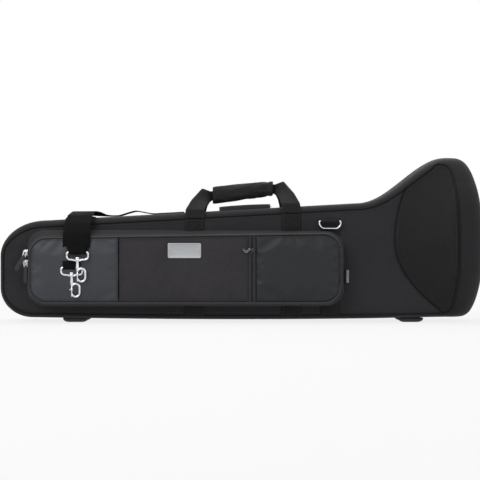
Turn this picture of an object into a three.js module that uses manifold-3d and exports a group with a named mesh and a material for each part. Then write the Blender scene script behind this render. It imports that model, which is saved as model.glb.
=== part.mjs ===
// Trombone case with a soft cover, standing upright on its feet.
// Frame: +X along the case towards the bell end, -Y to the front, +Z up, the floor at z = 0, the split at y = 0.
// All lengths are in millimetres and all angles in degrees.
import * as THREE from "three";
import { mergeVertices } from "three/addons/utils/BufferGeometryUtils.js";
import Module from "manifold-3d";

const wasm = await Module();
wasm.setup();

// Outline of the case seen from the front
const caseLength = 960;
const footHeight = 10;
const bottomSag = 4;
const slideTopLeft = 204;
const slideTopRight = 238.5;
const bellTop = 330;
const tailTopRadiusX = 90;
const tailTopRadiusZ = 72;
const tailTopCentreZ = 132;
const tailBottomRadiusX = 65;
const tailBottomRadiusZ = 60;
const flareLength = 180;
const flarePowerShare = 1.12;
const noseLength = 68;
const noseUpperZ = 157;
const noseLowerZ = 133;
const noseUpperPowerShare = 3.8;
const noseLowerPowerShare = 5.6;

// Depths of the two halves, from the split outwards
const frontDepth = 62;
const frontBellDepth = 126;
const rearDepth = 84;
const rearBellDepth = 130;
const bellRoundCentreZ = 165;
const bellRoundRadius = 175;
const bulgeOffset = 76;
const bulgeSpread = 110;
const bulgeBowUp = 62;
const bulgeBowDown = 142;
const endSeamInset = 52;
const filletDepth = 20;
const bellFilletDepth = 42;
const seamInsetTop = 12;
const seamInsetBottom = 8;
const seamInsetBell = 14;
const seamInsetTail = 8;
const seamEaseLength = 180;
const endSeamEaseLength = 110;

// Layers of a half: cover, foam core and plush lining
const coverThickness = 2;
const coreThickness = 11.7;
const liningThickness = 2.2;
const clearance = 0.3;
const leastInset = 3;
const tapeWidth = 7.7;
const coilWidth = 2.5;
const coilHeight = 1.2;
const hingeEndGap = 130;
const overrun = 5;
const thinSides = 8;
const barSides = 10;
const roundSides = 12;
const neckSides = 16;
const bellSides = 32;

// Webbing and feet
const webWidth = 38;
const webThickness = 2;
const handleLeftShare = 0.547;
const handleRightShare = 0.8174;
const ringHandleGap = 77;
const webGap = 6;
const footLength = 50;
const footDepth = 28;
const footInnerY = 13;
const footTailGap = 149;
const footNoseGap = 136.5;
const footBevel = 3;

// Pocket on the front half
const pocketDepth = 32;
const pocketSplitShare = 0.56;
const pocketTailGap = 58;
const pocketFlareGap = 26;
const pocketBottomZ = 34;
const pocketTopLeftZ = 184;
const pocketTopRightZ = 182;
const pocketTaperSide = 7;
const pocketTaperTopLeft = 16;
const pocketTaperTopRight = 5;
const pocketTaperBottom = 8;
const pocketCorner = 34;
const pocketWall = 3;
const pocketFloor = 4.5;
const pocketPanelThickness = 2;
const pocketSeamLeftShare = 0.2914;
const pocketSeamRightShare = 0.6997;
const sideZipWidth = 13;
const plateWidth = 66;
const plateHeight = 30;
const plateThickness = 1.5;
const plateShare = 0.4976;
const plateZ = 144;

const rad = THREE.MathUtils.degToRad;
const halfLength = caseLength / 2;
const tailTopCentreX = tailTopRadiusX - halfLength;
const tailBottomCentreX = tailBottomRadiusX - halfLength;
const tailBottomCentreZ = tailBottomRadiusZ + footHeight;
const flareEndX = halfLength - noseLength;
const flareStartX = flareEndX - flareLength;
const bulgeStartX = flareStartX + bulgeOffset;
const hingeHalfLength = halfLength - hingeEndGap;

// Places along the slide's length, from the tail to the flare
const alongSlide = (share) => (flareStartX + halfLength) * share - halfLength;
const handleWebLeftX = alongSlide(handleLeftShare);
const handleWebRightX = alongSlide(handleRightShare);
const frontRingX = handleWebRightX + ringHandleGap;
const footLeftX = footTailGap - halfLength;
const footRightX = halfLength - footNoseGap;
const pocketLeftX = pocketTailGap - halfLength;
const pocketRightX = flareStartX - pocketFlareGap;
const alongPocket = (share) => pocketLeftX + (pocketRightX - pocketLeftX) * share;
const pocketSeamLeftX = alongPocket(pocketSeamLeftShare);
const pocketSeamRightX = alongPocket(pocketSeamRightShare);
const plateX = alongPocket(plateShare);

// Shoulder strap: one leg comes up behind and over the tail, the other goes down beside the handle's webbing
const strapWidth = 50;
const strapThickness = 2;
const strapUpShare = 0.2191;
const strapHalf = strapWidth / 2;
const strapUpX = alongSlide(strapUpShare);
const strapDownX = handleWebLeftX - webWidth / 2 - webGap - strapHalf;
const rearRingX = strapUpX - strapHalf - webGap - webWidth / 2;

// Materials, named for what they are
const material = (color, roughness, metalness = 0) =>
  new THREE.MeshStandardMaterial({ color, roughness, metalness });
const wovenNylon = material("#2c292c", 0.85);
const smoothNylon = material("#42434b", 0.55);
const webbing = material("#232527", 0.8);
const foam = material("#d9d7cf", 0.9);
const plush = material("#1d1d24", 0.95);
const rubber = material("#303030", 0.7);
const chrome = material("#c9ccd0", 0.18, 1);
const zipCoil = material("#1c1c1f", 0.5);
const leather = material("#2b2928", 0.6);
const plateMetal = material("#a5a8ac", 0.4, 0.6);
const plastic = material("#1a1b1d", 0.45);

// Solids

// Turns a geometry into a solid, with its faces turned outwards.
function solidOf(geometry) {
  const bare = new THREE.BufferGeometry();
  bare.setAttribute("position", geometry.getAttribute("position"));
  bare.setIndex(geometry.getIndex());
  const merged = mergeVertices(bare, 1e-4);
  const vertices = merged.attributes.position.array;
  const faces = new Uint32Array(merged.index.array);
  let volume = 0;
  const [a, b, c] = [new THREE.Vector3(), new THREE.Vector3(), new THREE.Vector3()];
  for (let i = 0; i < faces.length; i += 3) {
    a.fromArray(vertices, faces[i] * 3);
    b.fromArray(vertices, faces[i + 1] * 3);
    c.fromArray(vertices, faces[i + 2] * 3);
    volume += a.dot(b.cross(c));
  }
  if (volume < 0) {
    faces.reverse();
  }
  return new wasm.Manifold(new wasm.Mesh({ numProp: 3, vertProperties: vertices, triVerts: faces }));
}

// Makes a solid from a flat list of points and a flat list of triangle corners.
function solidFrom(points, triangles) {
  const geometry = new THREE.BufferGeometry();
  geometry.setAttribute("position", new THREE.Float32BufferAttribute(points, 3));
  geometry.setIndex(triangles);
  return solidOf(geometry);
}

const join = (first, ...others) => others.reduce((sum, one) => sum.add(one), first);
const cut = (first, ...others) => others.reduce((rest, one) => rest.subtract(one), first);

// A block between two corners.
function block(x0, x1, y0, y1, z0, z1) {
  const geometry = new THREE.BoxGeometry(x1 - x0, y1 - y0, z1 - z0);
  return solidOf(geometry.translate((x0 + x1) / 2, (y0 + y1) / 2, (z0 + z1) / 2));
}

// Joins rings of points, all with as many points, into a closed solid with a fan on each end.
function loft(rings) {
  const count = rings[0].length;
  const centreOf = (ring) => ring.reduce((sum, p) => sum.add(p), new THREE.Vector3()).divideScalar(count);
  const ends = [centreOf(rings[0]), centreOf(rings[rings.length - 1])];
  const points = [...rings.flat(), ...ends].flatMap((p) => [p.x, p.y, p.z]);
  const triangles = [];
  const last = (rings.length - 1) * count;
  const firstCentre = rings.length * count;
  for (let k = 0; k < count; k++) {
    const next = (k + 1) % count;
    for (let r = 0; r < last; r += count) {
      triangles.push(r + k, r + next, r + k + count);
      triangles.push(r + next, r + next + count, r + k + count);
    }
    triangles.push(firstCentre, next, k);
    triangles.push(firstCentre + 1, last + k, last + next);
  }
  return solidFrom(points, triangles);
}

// Extrudes a flat outline of Vector2 points, held in the XZ plane, from one depth to another.
function plateXZ(outline, y0, y1) {
  const geometry = new THREE.ExtrudeGeometry(new THREE.Shape(outline), { depth: y1 - y0, bevelEnabled: false });
  return solidOf(geometry.rotateX(Math.PI / 2).translate(0, y1, 0));
}

// A round bar between two points.
function bar(from, to, radius, sides = barSides) {
  const along = to.clone().sub(from);
  const geometry = new THREE.CylinderGeometry(radius, radius, along.length(), sides);
  geometry.translate(0, along.length() / 2, 0);
  const turn = new THREE.Quaternion().setFromUnitVectors(new THREE.Vector3(0, 1, 0), along.normalize());
  return solidOf(geometry.applyQuaternion(turn).translate(from.x, from.y, from.z));
}

// A ribbon along stations of {centre, across}, where across runs from the middle to one edge.
function ribbon(stations, thickness) {
  const normals = stations.map(({ across }, i) => {
    const before = stations[Math.max(i - 1, 0)].centre;
    const after = stations[Math.min(i + 1, stations.length - 1)].centre;
    return after.clone().sub(before).cross(across).setLength(thickness / 2);
  });
  return loft(stations.map(({ centre, across }, i) => [
    centre.clone().add(across).add(normals[i]),
    centre.clone().sub(across).add(normals[i]),
    centre.clone().sub(across).sub(normals[i]),
    centre.clone().add(across).sub(normals[i]),
  ]));
}

const vec = (x, y, z) => new THREE.Vector3(x, y, z);

// Outline of the case

// Height of the top edge at x: rounded tail, straight slope, eased flare, rounded nose.
function topZ(x) {
  if (x < tailTopCentreX) {
    const share = (tailTopCentreX - x) / tailTopRadiusX;
    return tailTopCentreZ + tailTopRadiusZ * Math.sqrt(Math.max(1 - share * share, 0));
  }
  const slope = (slideTopRight - slideTopLeft) / (flareStartX - tailTopCentreX);
  const straight = slideTopLeft + slope * (x - tailTopCentreX);
  if (x <= flareStartX) {
    return straight;
  }
  if (x <= flareEndX) {
    const along = (x - flareStartX) / flareLength;
    const ease = THREE.MathUtils.smoothstep(along ** flarePowerShare, 0, 1);
    return slideTopRight + (bellTop - slideTopRight) * ease;
  }
  const share = (x - flareEndX) / noseLength;
  return noseUpperZ + (bellTop - noseUpperZ) * Math.sqrt(Math.max(1 - share ** noseUpperPowerShare, 0));
}

// Height of the bottom edge at x: rounded tail, a slight sag between the feet, rounded nose.
function bottomZ(x) {
  if (x < tailBottomCentreX) {
    const share = (tailBottomCentreX - x) / tailBottomRadiusX;
    return tailBottomCentreZ - tailBottomRadiusZ * Math.sqrt(Math.max(1 - share * share, 0));
  }
  if (x <= flareEndX) {
    const share = (x - tailBottomCentreX) / (flareEndX - tailBottomCentreX);
    return footHeight - bottomSag * Math.sin(Math.PI * share);
  }
  const share = (x - flareEndX) / noseLength;
  return noseLowerZ - (noseLowerZ - footHeight) * Math.sqrt(Math.max(1 - share ** noseLowerPowerShare, 0));
}

const tailAngles = [0, 15, 30, 45, 60, 75];
const middleShares = [0, 0.25, 0.5, 0.75];
const flareShares = [0, 0.17, 0.34, 0.5, 0.66, 0.83];
const noseShares = [0, 0.35, 0.6, 0.8, 0.92, 0.98, 1];
const stationXs = [
  ...tailAngles.map((angle) => tailTopCentreX - tailTopRadiusX * Math.cos(rad(angle))),
  ...middleShares.map((share) => tailTopCentreX + (flareStartX - tailTopCentreX) * share),
  ...flareShares.map((share) => flareStartX + flareLength * share),
  ...noseShares.map((share) => flareEndX + noseLength * share),
];
const stationCount = stationXs.length;

// The outline as a loop: the top from tail to nose, then the bottom back.
const outlineLoop = [
  ...stationXs.map((x) => new THREE.Vector2(x, topZ(x))),
  ...stationXs.toReversed().map((x) => new THREE.Vector2(x, bottomZ(x))),
];
const outlineNormals = outlineLoop.map((point, k) => {
  const before = outlineLoop.at(k - 1);
  const after = outlineLoop[(k + 1) % outlineLoop.length];
  return new THREE.Vector2(before.y - after.y, after.x - before.x).normalize();
});

// The outline moved inwards by an inset, or outwards where it is negative.
function insetLoop(inset) {
  return outlineLoop.map((point, k) => point.clone().addScaledVector(outlineNormals[k], -inset));
}

// Draws x in near both ends, so that the seam round a panel stays clear of the rounded ends.
function easeX(x, insetTail, insetNose) {
  const fromTail = x + halfLength;
  const fromNose = halfLength - x;
  if (fromTail < seamEaseLength) {
    return x + insetTail * (1 - fromTail / seamEaseLength);
  }
  if (fromNose < endSeamEaseLength) {
    return x - insetNose * (1 - fromNose / endSeamEaseLength);
  }
  return x;
}

// The seam between wall and panel, for a surface that lies some way inside the cover.
function seamLoop(inset) {
  return outlineLoop.map((point, k) => {
    const nose = THREE.MathUtils.smoothstep(point.x, flareStartX, flareEndX);
    const top = seamInsetTop + (seamInsetBell - seamInsetTop) * nose;
    const own = outlineNormals[k].y > 0 ? top : seamInsetBottom;
    const drop = Math.max(own, inset + leastInset);
    const lean = point.x > tailTopCentreX ? Math.max(-outlineNormals[k].x, 0) : 0;
    const tail = Math.max(seamInsetTail, inset + leastInset);
    const x = easeX(point.x, tail, endSeamInset) + drop * lean;
    return new THREE.Vector2(x, point.y - drop * outlineNormals[k].y);
  });
}

// Depth of a half at a place on its panel: flat over the slide, bulging over the bell.
function depthAt(side, x, z) {
  const [flat, bell] = side < 0 ? [frontDepth, frontBellDepth] : [rearDepth, rearBellDepth];
  const offset = (z - bellRoundCentreZ) / bellRoundRadius;
  const bow = offset * offset * (offset > 0 ? bulgeBowUp : bulgeBowDown);
  const ramp = THREE.MathUtils.clamp((x - bulgeStartX - bow) / bulgeSpread, 0, 1);
  const round = Math.sqrt(Math.max(1 - offset * offset, 0));
  return flat + (bell - flat) * ramp * round;
}

const filletAngles = [0, 30, 60, 90];
const panelShares = [0.12, 0.32, 0.5, 0.68, 0.88];

// One half as a filled solid: side is -1 for the front or 1 for the rear, inset is how far inside the cover
// the surface lies, and start is the distance from the split at which the wall begins.
function halfSolid(side, inset, start) {
  const edge = insetLoop(inset);
  const seam = seamLoop(inset);
  const loopCount = edge.length;
  const rings = [edge.map((p) => [p.x, start, p.y])];
  for (const angle of filletAngles) {
    const slide = 1 - Math.cos(rad(angle));
    rings.push(edge.map((p, k) => {
      const nose = THREE.MathUtils.smoothstep(p.x, flareStartX, flareEndX);
      const fillet = filletDepth + (bellFilletDepth - filletDepth) * nose;
      const depth = depthAt(side, seam[k].x, seam[k].y) - inset;
      const left = Math.max(fillet - inset, leastInset) * (1 - Math.sin(rad(angle)));
      const along = (from, to) => from + (to - from) * slide;
      return [along(p.x, seam[k].x), depth - left, along(p.y, seam[k].y)];
    }));
  }
  const points = rings.flat();
  const triangles = [];
  for (let r = 0; r + 1 < rings.length; r++) {
    for (let k = 0; k < loopCount; k++) {
      const a = r * loopCount + k;
      const b = r * loopCount + ((k + 1) % loopCount);
      triangles.push(a, a + loopCount, b, b, a + loopCount, b + loopCount);
    }
  }
  addFlatCap(triangles);
  addPanel(points, triangles, seam, (rings.length - 1) * loopCount, (x, z) => depthAt(side, x, z) - inset);
  const flat = points.flatMap(([x, depth, z]) => [x, side * depth, z]);
  return solidFrom(flat, triangles);
}

// Closes the split side with one quad between each two stations.
function addFlatCap(triangles) {
  const last = 2 * stationCount - 1;
  for (let i = 0; i + 1 < stationCount; i++) {
    triangles.push(i, i + 1, last - i, i + 1, last - i - 1, last - i);
  }
}

// Closes the panel side with rungs from the top seam to the bottom seam, which meet the panel's depth.
function addPanel(points, triangles, seam, first, depth) {
  const last = 2 * stationCount - 1;
  const rungs = [];
  for (let i = 0; i < stationCount; i++) {
    const rung = [first + i];
    const inner = i > 0 && i + 1 < stationCount ? panelShares : [];
    for (const share of inner) {
      const x = seam[i].x;
      const z = seam[i].y + (seam[last - i].y - seam[i].y) * share;
      rung.push(points.length);
      points.push([x, depth(x, z), z]);
    }
    rung.push(first + last - i);
    rungs.push(rung);
  }
  for (let i = 0; i + 1 < stationCount; i++) {
    const [one, two] = [rungs[i], rungs[i + 1]];
    const half = Math.floor(panelShares.length / 2) + 1;
    for (let j = 0; j <= panelShares.length; j++) {
      if (one.length === 2) {
        triangles.push(one[j < half ? 0 : 1], two[j + 1], two[j]);
      } else if (two.length === 2) {
        triangles.push(one[j], one[j + 1], two[j < half ? 0 : 1]);
      } else {
        triangles.push(one[j], one[j + 1], two[j], two[j], one[j + 1], two[j + 1]);
      }
    }
    if (one.length === 2) {
      triangles.push(one[0], one[1], two[half]);
    } else if (two.length === 2) {
      triangles.push(one[half], two[1], two[0]);
    }
  }
}

const cornerSteps = 4;
const pullCornerSteps = 2;

// A rectangle of Vector2 points about a centre, with one radius for its upper and one for its lower corners.
function roundRect(centreX, centreZ, width, height, upperRadius, lowerRadius = upperRadius, steps = cornerSteps) {
  const outline = [];
  for (let corner = 0; corner < 4; corner++) {
    const sideX = corner === 0 || corner === 3 ? 1 : -1;
    const sideZ = corner < 2 ? 1 : -1;
    const radius = corner < 2 ? upperRadius : lowerRadius;
    for (let step = 0; step <= steps; step++) {
      const angle = rad(90) * (corner + step / steps);
      const x = centreX + sideX * (width / 2 - radius) + radius * Math.cos(angle);
      const z = centreZ + sideZ * (height / 2 - radius) + radius * Math.sin(angle);
      outline.push(new THREE.Vector2(x, z));
    }
  }
  return outline;
}

const root = new THREE.Group();
root.name = "trombone_case";

// Adds a solid to the case as a named mesh.
function place(name, solid, surface) {
  const { vertProperties, triVerts } = solid.getMesh();
  const geometry = new THREE.BufferGeometry();
  geometry.setAttribute("position", new THREE.BufferAttribute(vertProperties, 3));
  geometry.setIndex(new THREE.BufferAttribute(triVerts, 1));
  geometry.computeVertexNormals();
  const mesh = new THREE.Mesh(geometry, surface);
  mesh.name = name;
  root.add(mesh);
  return solid;
}

// Both halves: a cover over a foam core over a plush lining, open at the split

const coreInset = coverThickness + clearance;
const liningInset = coreInset + coreThickness + clearance;
const hollowInset = liningInset + liningThickness;
const coverStart = tapeWidth + clearance;
const sides = [["front", -1, frontDepth], ["rear", 1, rearDepth]];

for (const [name, side] of sides) {
  const cover = halfSolid(side, 0, coverStart).subtract(halfSolid(side, coverThickness, -overrun));
  place(`${name}_cover`, cover, wovenNylon);
  const coreHollow = halfSolid(side, coreInset + coreThickness, -overrun);
  place(`${name}_core`, halfSolid(side, coreInset, clearance).subtract(coreHollow), foam);
  const hollow = halfSolid(side, hollowInset, -overrun);
  place(`${name}_lining`, halfSolid(side, liningInset, clearance).subtract(hollow), plush);
}

// Zip tapes round the tail, top and nose, and the hinge strip along the bottom

const everywhere = caseLength;
const hingeBandTop = 33;
for (const [name, side] of sides) {
  const between = (from, to) => (side < 0 ? [-to, -from] : [from, to]);
  const tape = plateXZ(insetLoop(0), ...between(clearance, tapeWidth));
  const coil = plateXZ(insetLoop(-coilHeight), ...between(clearance, coilWidth));
  const inside = plateXZ(insetLoop(coverThickness), ...between(-overrun, tapeWidth + overrun));
  const hingeGap = block(-hingeHalfLength, hingeHalfLength, -everywhere, everywhere, -overrun, hingeBandTop);
  place(`${name}_zip_tape`, cut(join(tape, coil), inside, hingeGap), zipCoil);
}
const hingeLoop = plateXZ(insetLoop(0), -tapeWidth, tapeWidth);
const hingeInside = plateXZ(insetLoop(coverThickness), -tapeWidth - overrun, tapeWidth + overrun);
const hingeEnd = hingeHalfLength - clearance;
const hingeSpan = block(-hingeEnd, hingeEnd, -everywhere, everywhere, -overrun, hingeBandTop);
place("hinge_strip", hingeLoop.subtract(hingeInside).intersect(hingeSpan), webbing);

// Webbing strips that follow the cover from the bottom edge up to the handles and rings

// The part of a strip's skin between two heights, on one half.
function webStrip(side, centreX, bottom, top) {
  const outer = halfSolid(side, -clearance - webThickness, coverStart);
  const inner = halfSolid(side, -clearance, -overrun);
  const reach = side * everywhere;
  const [y0, y1] = [Math.min(side * coverStart, reach), Math.max(side * coverStart, reach)];
  const span = block(centreX - webWidth / 2, centreX + webWidth / 2, y0, y1, bottom, top);
  return outer.subtract(inner).intersect(span);
}

const stripRise = 12;
const handleWebs = [["left", handleWebLeftX], ["right", handleWebRightX]];
const webFoot = (x) => bottomZ(x) + seamInsetBottom;
const webHead = (x) => topZ(x) - stripRise;
for (const [name, side] of sides) {
  for (const [end, x] of handleWebs) {
    const top = webHead(x - webWidth / 2) + clearance;
    place(`${name}_web_${end}`, webStrip(side, x, webFoot(x), top), webbing);
  }
}
const ringLoopHeight = 9;
const ringWebDrops = { front: 28.6, rear: 30.1 };
const ringWebTops = { front: topZ(frontRingX) - ringWebDrops.front, rear: topZ(rearRingX) - ringWebDrops.rear };
const ringBarDrop = 5;
const ringWireRadius = 1.75;
const ringXs = { front: frontRingX, rear: rearRingX };
const ringLoopDepth = 2 * (ringWireRadius + clearance + webThickness);
for (const [name, side, depth] of sides) {
  const x = ringXs[name];
  const top = ringWebTops[name];
  const strip = webStrip(side, x, webFoot(x) + (side > 0 ? stripRise : 0), top);
  const near = depth + clearance;
  const far = near + webThickness + ringLoopDepth;
  const faces = [side * near, side * far].toSorted((a, b) => a - b);
  const [left, right] = [x - webWidth / 2, x + webWidth / 2];
  const loop = block(left, right, ...faces, top - ringLoopHeight, top);
  const barY = side * (near + webThickness + ringLoopDepth / 2);
  const barZ = top - ringBarDrop + clearance;
  const bore = bar(vec(left - overrun, barY, barZ), vec(right + overrun, barY, barZ), ringWireRadius + clearance);
  place(`${name}_ring_web`, cut(join(strip, loop), bore), webbing);
}

// D-rings, with the straight bar in the loop and the bow hanging down

const ringWidth = 46;
const ringHeight = 18;
const ringTopRadius = 3;
const ringBowRadius = 13;
for (const [name, side, depth] of sides) {
  const x = ringXs[name];
  const barY = side * (depth + clearance + webThickness + ringLoopDepth / 2);
  const barZ = ringWebTops[name] - ringBarDrop + clearance;
  const wire = 2 * ringWireRadius;
  const centreZ = barZ + ringWireRadius - ringHeight / 2;
  const outer = roundRect(x, centreZ, ringWidth, ringHeight, ringTopRadius, ringBowRadius);
  const innerWidth = ringWidth - 2 * wire;
  const innerHeight = ringHeight - 2 * wire;
  const inner = roundRect(x, centreZ, innerWidth, innerHeight, ringWireRadius / 2, ringBowRadius - wire);
  const faces = [barY - ringWireRadius, barY + ringWireRadius];
  const bow = plateXZ(outer, ...faces);
  const hole = plateXZ(inner, faces[0] - overrun, faces[1] + overrun);
  const half = innerWidth / 2;
  const squareBar = block(x - half, x + half, faces[0] - overrun, faces[1] + overrun, barZ - wire, barZ + wire);
  const reach = half + ringWireRadius;
  const round = bar(vec(x - reach, barY, barZ), vec(x + reach, barY, barZ), ringWireRadius);
  place(`d_ring_${name}`, join(cut(bow, hole, squareBar), round), chrome);
}

// Feet: rounded bumpers under both halves, clear of the hinge

for (const [name, side] of sides) {
  for (const [end, x] of [["left", footLeftX], ["right", footRightX]]) {
    const half = footLength / 2;
    const top = Math.min(bottomZ(x - half), bottomZ(x + half)) - clearance;
    const depth = side < 0 ? footDepth : footDepth + rearDepth - frontDepth;
    const centreY = side * (footInnerY + depth / 2);
    const levels = [[0, footBevel], [footBevel, 0], [top, 0]];
    const rings = levels.map(([z, inset]) =>
      roundRect(x, centreY, footLength - 2 * inset, depth - 2 * inset, 2 * footBevel)
        .map((p) => vec(p.x, p.y, z)));
    place(`${name}_foot_${end}`, loft(rings), rubber);
  }
}

// Front pocket: a tray on the front panel, and a deep flap that zips onto it and opens downwards

const pocketBackY = -(frontDepth + clearance);
const pocketFrontY = pocketBackY - pocketDepth;
const pocketSplitY = pocketBackY - pocketDepth * pocketSplitShare;
const pocketHingeZ = pocketBottomZ + pocketTaperBottom * pocketSplitShare;

// One outline of the pocket: share is 0 at the panel and 1 at the front, inset is measured inwards.
function pocketRing(share, inset) {
  const left = pocketLeftX + pocketTaperSide * share + inset;
  const right = pocketRightX - pocketTaperSide * share - inset;
  const bottom = pocketBottomZ + pocketTaperBottom * share + inset;
  const topLeft = pocketTopLeftZ - pocketTaperTopLeft * share - inset;
  const topRight = pocketTopRightZ - pocketTaperTopRight * share - inset;
  const width = right - left;
  return roundRect(0, 0, width, topLeft - bottom, pocketCorner - inset).map((p) => {
    const rise = (topRight - topLeft) * (p.x / width + 1 / 2);
    const lift = (p.y / (topLeft - bottom) + 1 / 2) * rise;
    return new THREE.Vector2(p.x + (left + right) / 2, p.y + (topLeft + bottom) / 2 + lift);
  });
}

// The pocket's volume between two shares of its depth, set in from its outside.
function pocketSolid(from, to, inset, yFrom, yTo) {
  const ring = (share, y) => pocketRing(share, inset).map((p) => vec(p.x, y, p.y));
  return loft([ring(from, yFrom), ring(to, yTo)]);
}

const trayFull = pocketSolid(0, pocketSplitShare, 0, pocketBackY, pocketSplitY);
const trayFloorY = pocketBackY - pocketFloor;
const trayHollow = pocketSolid(0, pocketSplitShare, pocketWall, trayFloorY, pocketSplitY - overrun);
const grooveHalf = webWidth / 2 + 2 * clearance;
const grooveY = pocketBackY - webThickness - 2 * clearance;
const grooves = [handleWebLeftX, handleWebRightX, frontRingX].map((x) =>
  block(x - grooveHalf, x + grooveHalf, grooveY, 0, 0, bellTop));
place("pocket_tray", cut(trayFull, trayHollow, ...grooves), wovenNylon);

const gussetBackY = pocketSplitY - clearance;
const gussetFrontY = pocketFrontY + pocketPanelThickness + clearance;
const gussetFull = pocketSolid(pocketSplitShare, 1, 0, gussetBackY, gussetFrontY);
const gussetHollowY = gussetFrontY + pocketPanelThickness;
const gussetHollow = pocketSolid(pocketSplitShare, 1, pocketWall, gussetBackY + overrun, gussetHollowY);
place("pocket_gusset", gussetFull.subtract(gussetHollow), wovenNylon);

const panelFace = plateXZ(pocketRing(1, 0), pocketFrontY, pocketFrontY + pocketPanelThickness);
const seamGap = clearance / 2;
const zipRightX = pocketSeamRightX + sideZipWidth;
const panelSpans = [
  ["pocket_panel_left", pocketLeftX, pocketSeamLeftX, smoothNylon],
  ["pocket_panel_middle", pocketSeamLeftX, pocketSeamRightX, wovenNylon],
  ["side_zip", pocketSeamRightX, zipRightX, zipCoil],
  ["pocket_panel_right", zipRightX, pocketRightX, smoothNylon],
];
for (const [name, from, to, surface] of panelSpans) {
  const span = block(from + seamGap, to - seamGap, -everywhere, 0, 0, bellTop);
  place(name, panelFace.intersect(span), surface);
}

const plateBackY = pocketFrontY - clearance;
const plateOutline = roundRect(plateX, plateZ, plateWidth, plateHeight, plateThickness);
place("badge_plate", plateXZ(plateOutline, plateBackY - plateThickness, plateBackY), plateMetal);

// Zip sliders with their pulls

// A pull: a strap of leather with a hole in its head, hanging from a point in the XZ plane.
function pullPlate(x, z, y, width, length, thickness, tilt) {
  const outline = roundRect(0, -length / 2, width, length, width / 3, width / 3, pullCornerSteps);
  const turned = outline.map((p) => p.rotateAround(new THREE.Vector2(), rad(tilt)));
  const moved = turned.map((p) => new THREE.Vector2(p.x + x, p.y + z));
  return plateXZ(moved, y - thickness / 2, y + thickness / 2);
}

const sliderLength = 14.7;
const sliderWidth = 9;
const sliderHeight = 6;
const pullWidth = 10;
const pullLength = 40;
const pullThickness = 2.5;
const upperSliderZ = 139.7;
const upperPullTilt = -29;
const lowerSliderZ = 119.8;
const pocketSliders = [["upper", upperSliderZ, upperPullTilt], ["lower", lowerSliderZ, 0]];
const pocketSliderShare = pocketSplitShare - sliderWidth / 2 / pocketDepth;
const pocketSliderX = pocketLeftX + pocketTaperSide * pocketSliderShare - clearance;
const pullOffset = 1;
for (const [name, z, tilt] of pocketSliders) {
  const [x0, x1] = [pocketSliderX - sliderHeight, pocketSliderX];
  const [y0, y1] = [pocketSplitY - sliderWidth / 2, pocketSplitY + sliderWidth / 2];
  const body = block(x0, x1, y0, y1, z - sliderLength / 2, z + sliderLength / 2);
  place(`pocket_slider_${name}`, body, chrome);
  const pullY = y0 - clearance - pullThickness / 2;
  const pull = pullPlate((x0 + x1) / 2 - pullOffset, z, pullY, pullWidth, pullLength, pullThickness, tilt);
  place(`pocket_pull_${name}`, pull, leather);
}

// Carry handles: a webbing loop on each half, meeting in one grip that a wrap holds together

const gripInset = 35;
const gripRise = { left: 33, right: 40.6 };
const gripHeight = { left: 36, right: 31 };
const gripEnd = (x, end) => ({ x, z: topZ(x) + gripRise[end], height: gripHeight[end] });
const gripLeft = gripEnd(handleWebLeftX + gripInset, "left");
const gripRight = gripEnd(handleWebRightX - gripInset, "right");
const gripThickness = 24;
const foldedWebHeight = 19;
const handleGap = 3;
const gripHollow = 2 * handleGap + webThickness + 2 * clearance;
// Shares of the way from the base to the grip (along, in, up) and of the half width (across, upright).
const riseShares = [
  [0, 0, 0, 1, 0],
  [0.03, 0.05, 0.36, 1, 0],
  [0.24, 0.34, 0.68, 0.8, 0.25],
  [0.6, 0.74, 1, 0.38, 0.72],
  [0.9, 1, 0.97, 0.05, 0.5],
];
const gripShares = [0.08, 0.5, 0.92];
const gripSlope = (gripRight.z - gripLeft.z) / (gripRight.x - gripLeft.x);
for (const [name, side, depth] of sides) {
  const baseY = side * (depth + clearance + webThickness / 2);
  const gripY = side * handleGap;
  const climb = (baseX, grip, way) => {
    const baseZ = webHead(baseX - webWidth / 2) + 3 * clearance;
    return riseShares.map(([along, inwards, up, across, upright]) => ({
      centre: vec(baseX + (grip.x - baseX) * along, baseY + (gripY - baseY) * inwards, baseZ + (grip.z - baseZ) * up),
      across: vec(way * across, 0, -upright).multiplyScalar(webWidth / 2),
    }));
  };
  const left = climb(handleWebLeftX, gripLeft, 1);
  const right = climb(handleWebRightX, gripRight, -1).toReversed();
  const middle = gripShares.map((share) => {
    const x = gripLeft.x + (gripRight.x - gripLeft.x) * share;
    const z = gripLeft.z + gripSlope * (x - gripLeft.x);
    return { centre: vec(x, gripY, z), across: vec(0, 0, -foldedWebHeight / 2) };
  });
  place(`${name}_handle`, ribbon([...left, ...middle, ...right], webThickness), webbing);
}

// A ring round the grip in the YZ plane, at a share of its length.
function gripRing(share, shrinkY, shrinkZ, cornerShare) {
  const x = gripLeft.x + (gripRight.x - gripLeft.x) * share;
  const z = gripLeft.z + gripSlope * (x - gripLeft.x);
  const height = gripLeft.height + (gripRight.height - gripLeft.height) * share - shrinkZ;
  const thickness = gripThickness - shrinkY;
  return roundRect(0, 0, thickness, height, thickness * cornerShare).map((p) => vec(x, p.x, z + p.y));
}

const wrapRound = 2;
const wrapRoundShare = 0.05;
const wrapReachShare = 0.1;
const wrapCornerShare = 0.45;
const hollowCornerShare = 0.1;
const wrapEnds = [[0, wrapRound], [wrapRoundShare, 0], [1 - wrapRoundShare, 0], [1, wrapRound]];
const wrapOuter = loft(wrapEnds.map(([share, shrink]) => gripRing(share, shrink, shrink, wrapCornerShare)));
const wrapShrinkZ = gripRight.height - foldedWebHeight - 2 * handleGap;
const wrapInner = loft([-wrapReachShare, 1 + wrapReachShare].map((share) =>
  gripRing(share, gripThickness - gripHollow, wrapShrinkZ, hollowCornerShare)));
place("handle_wrap", wrapOuter.subtract(wrapInner), leather);

// Padded hood on the rear half, under which both zip sliders park

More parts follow.
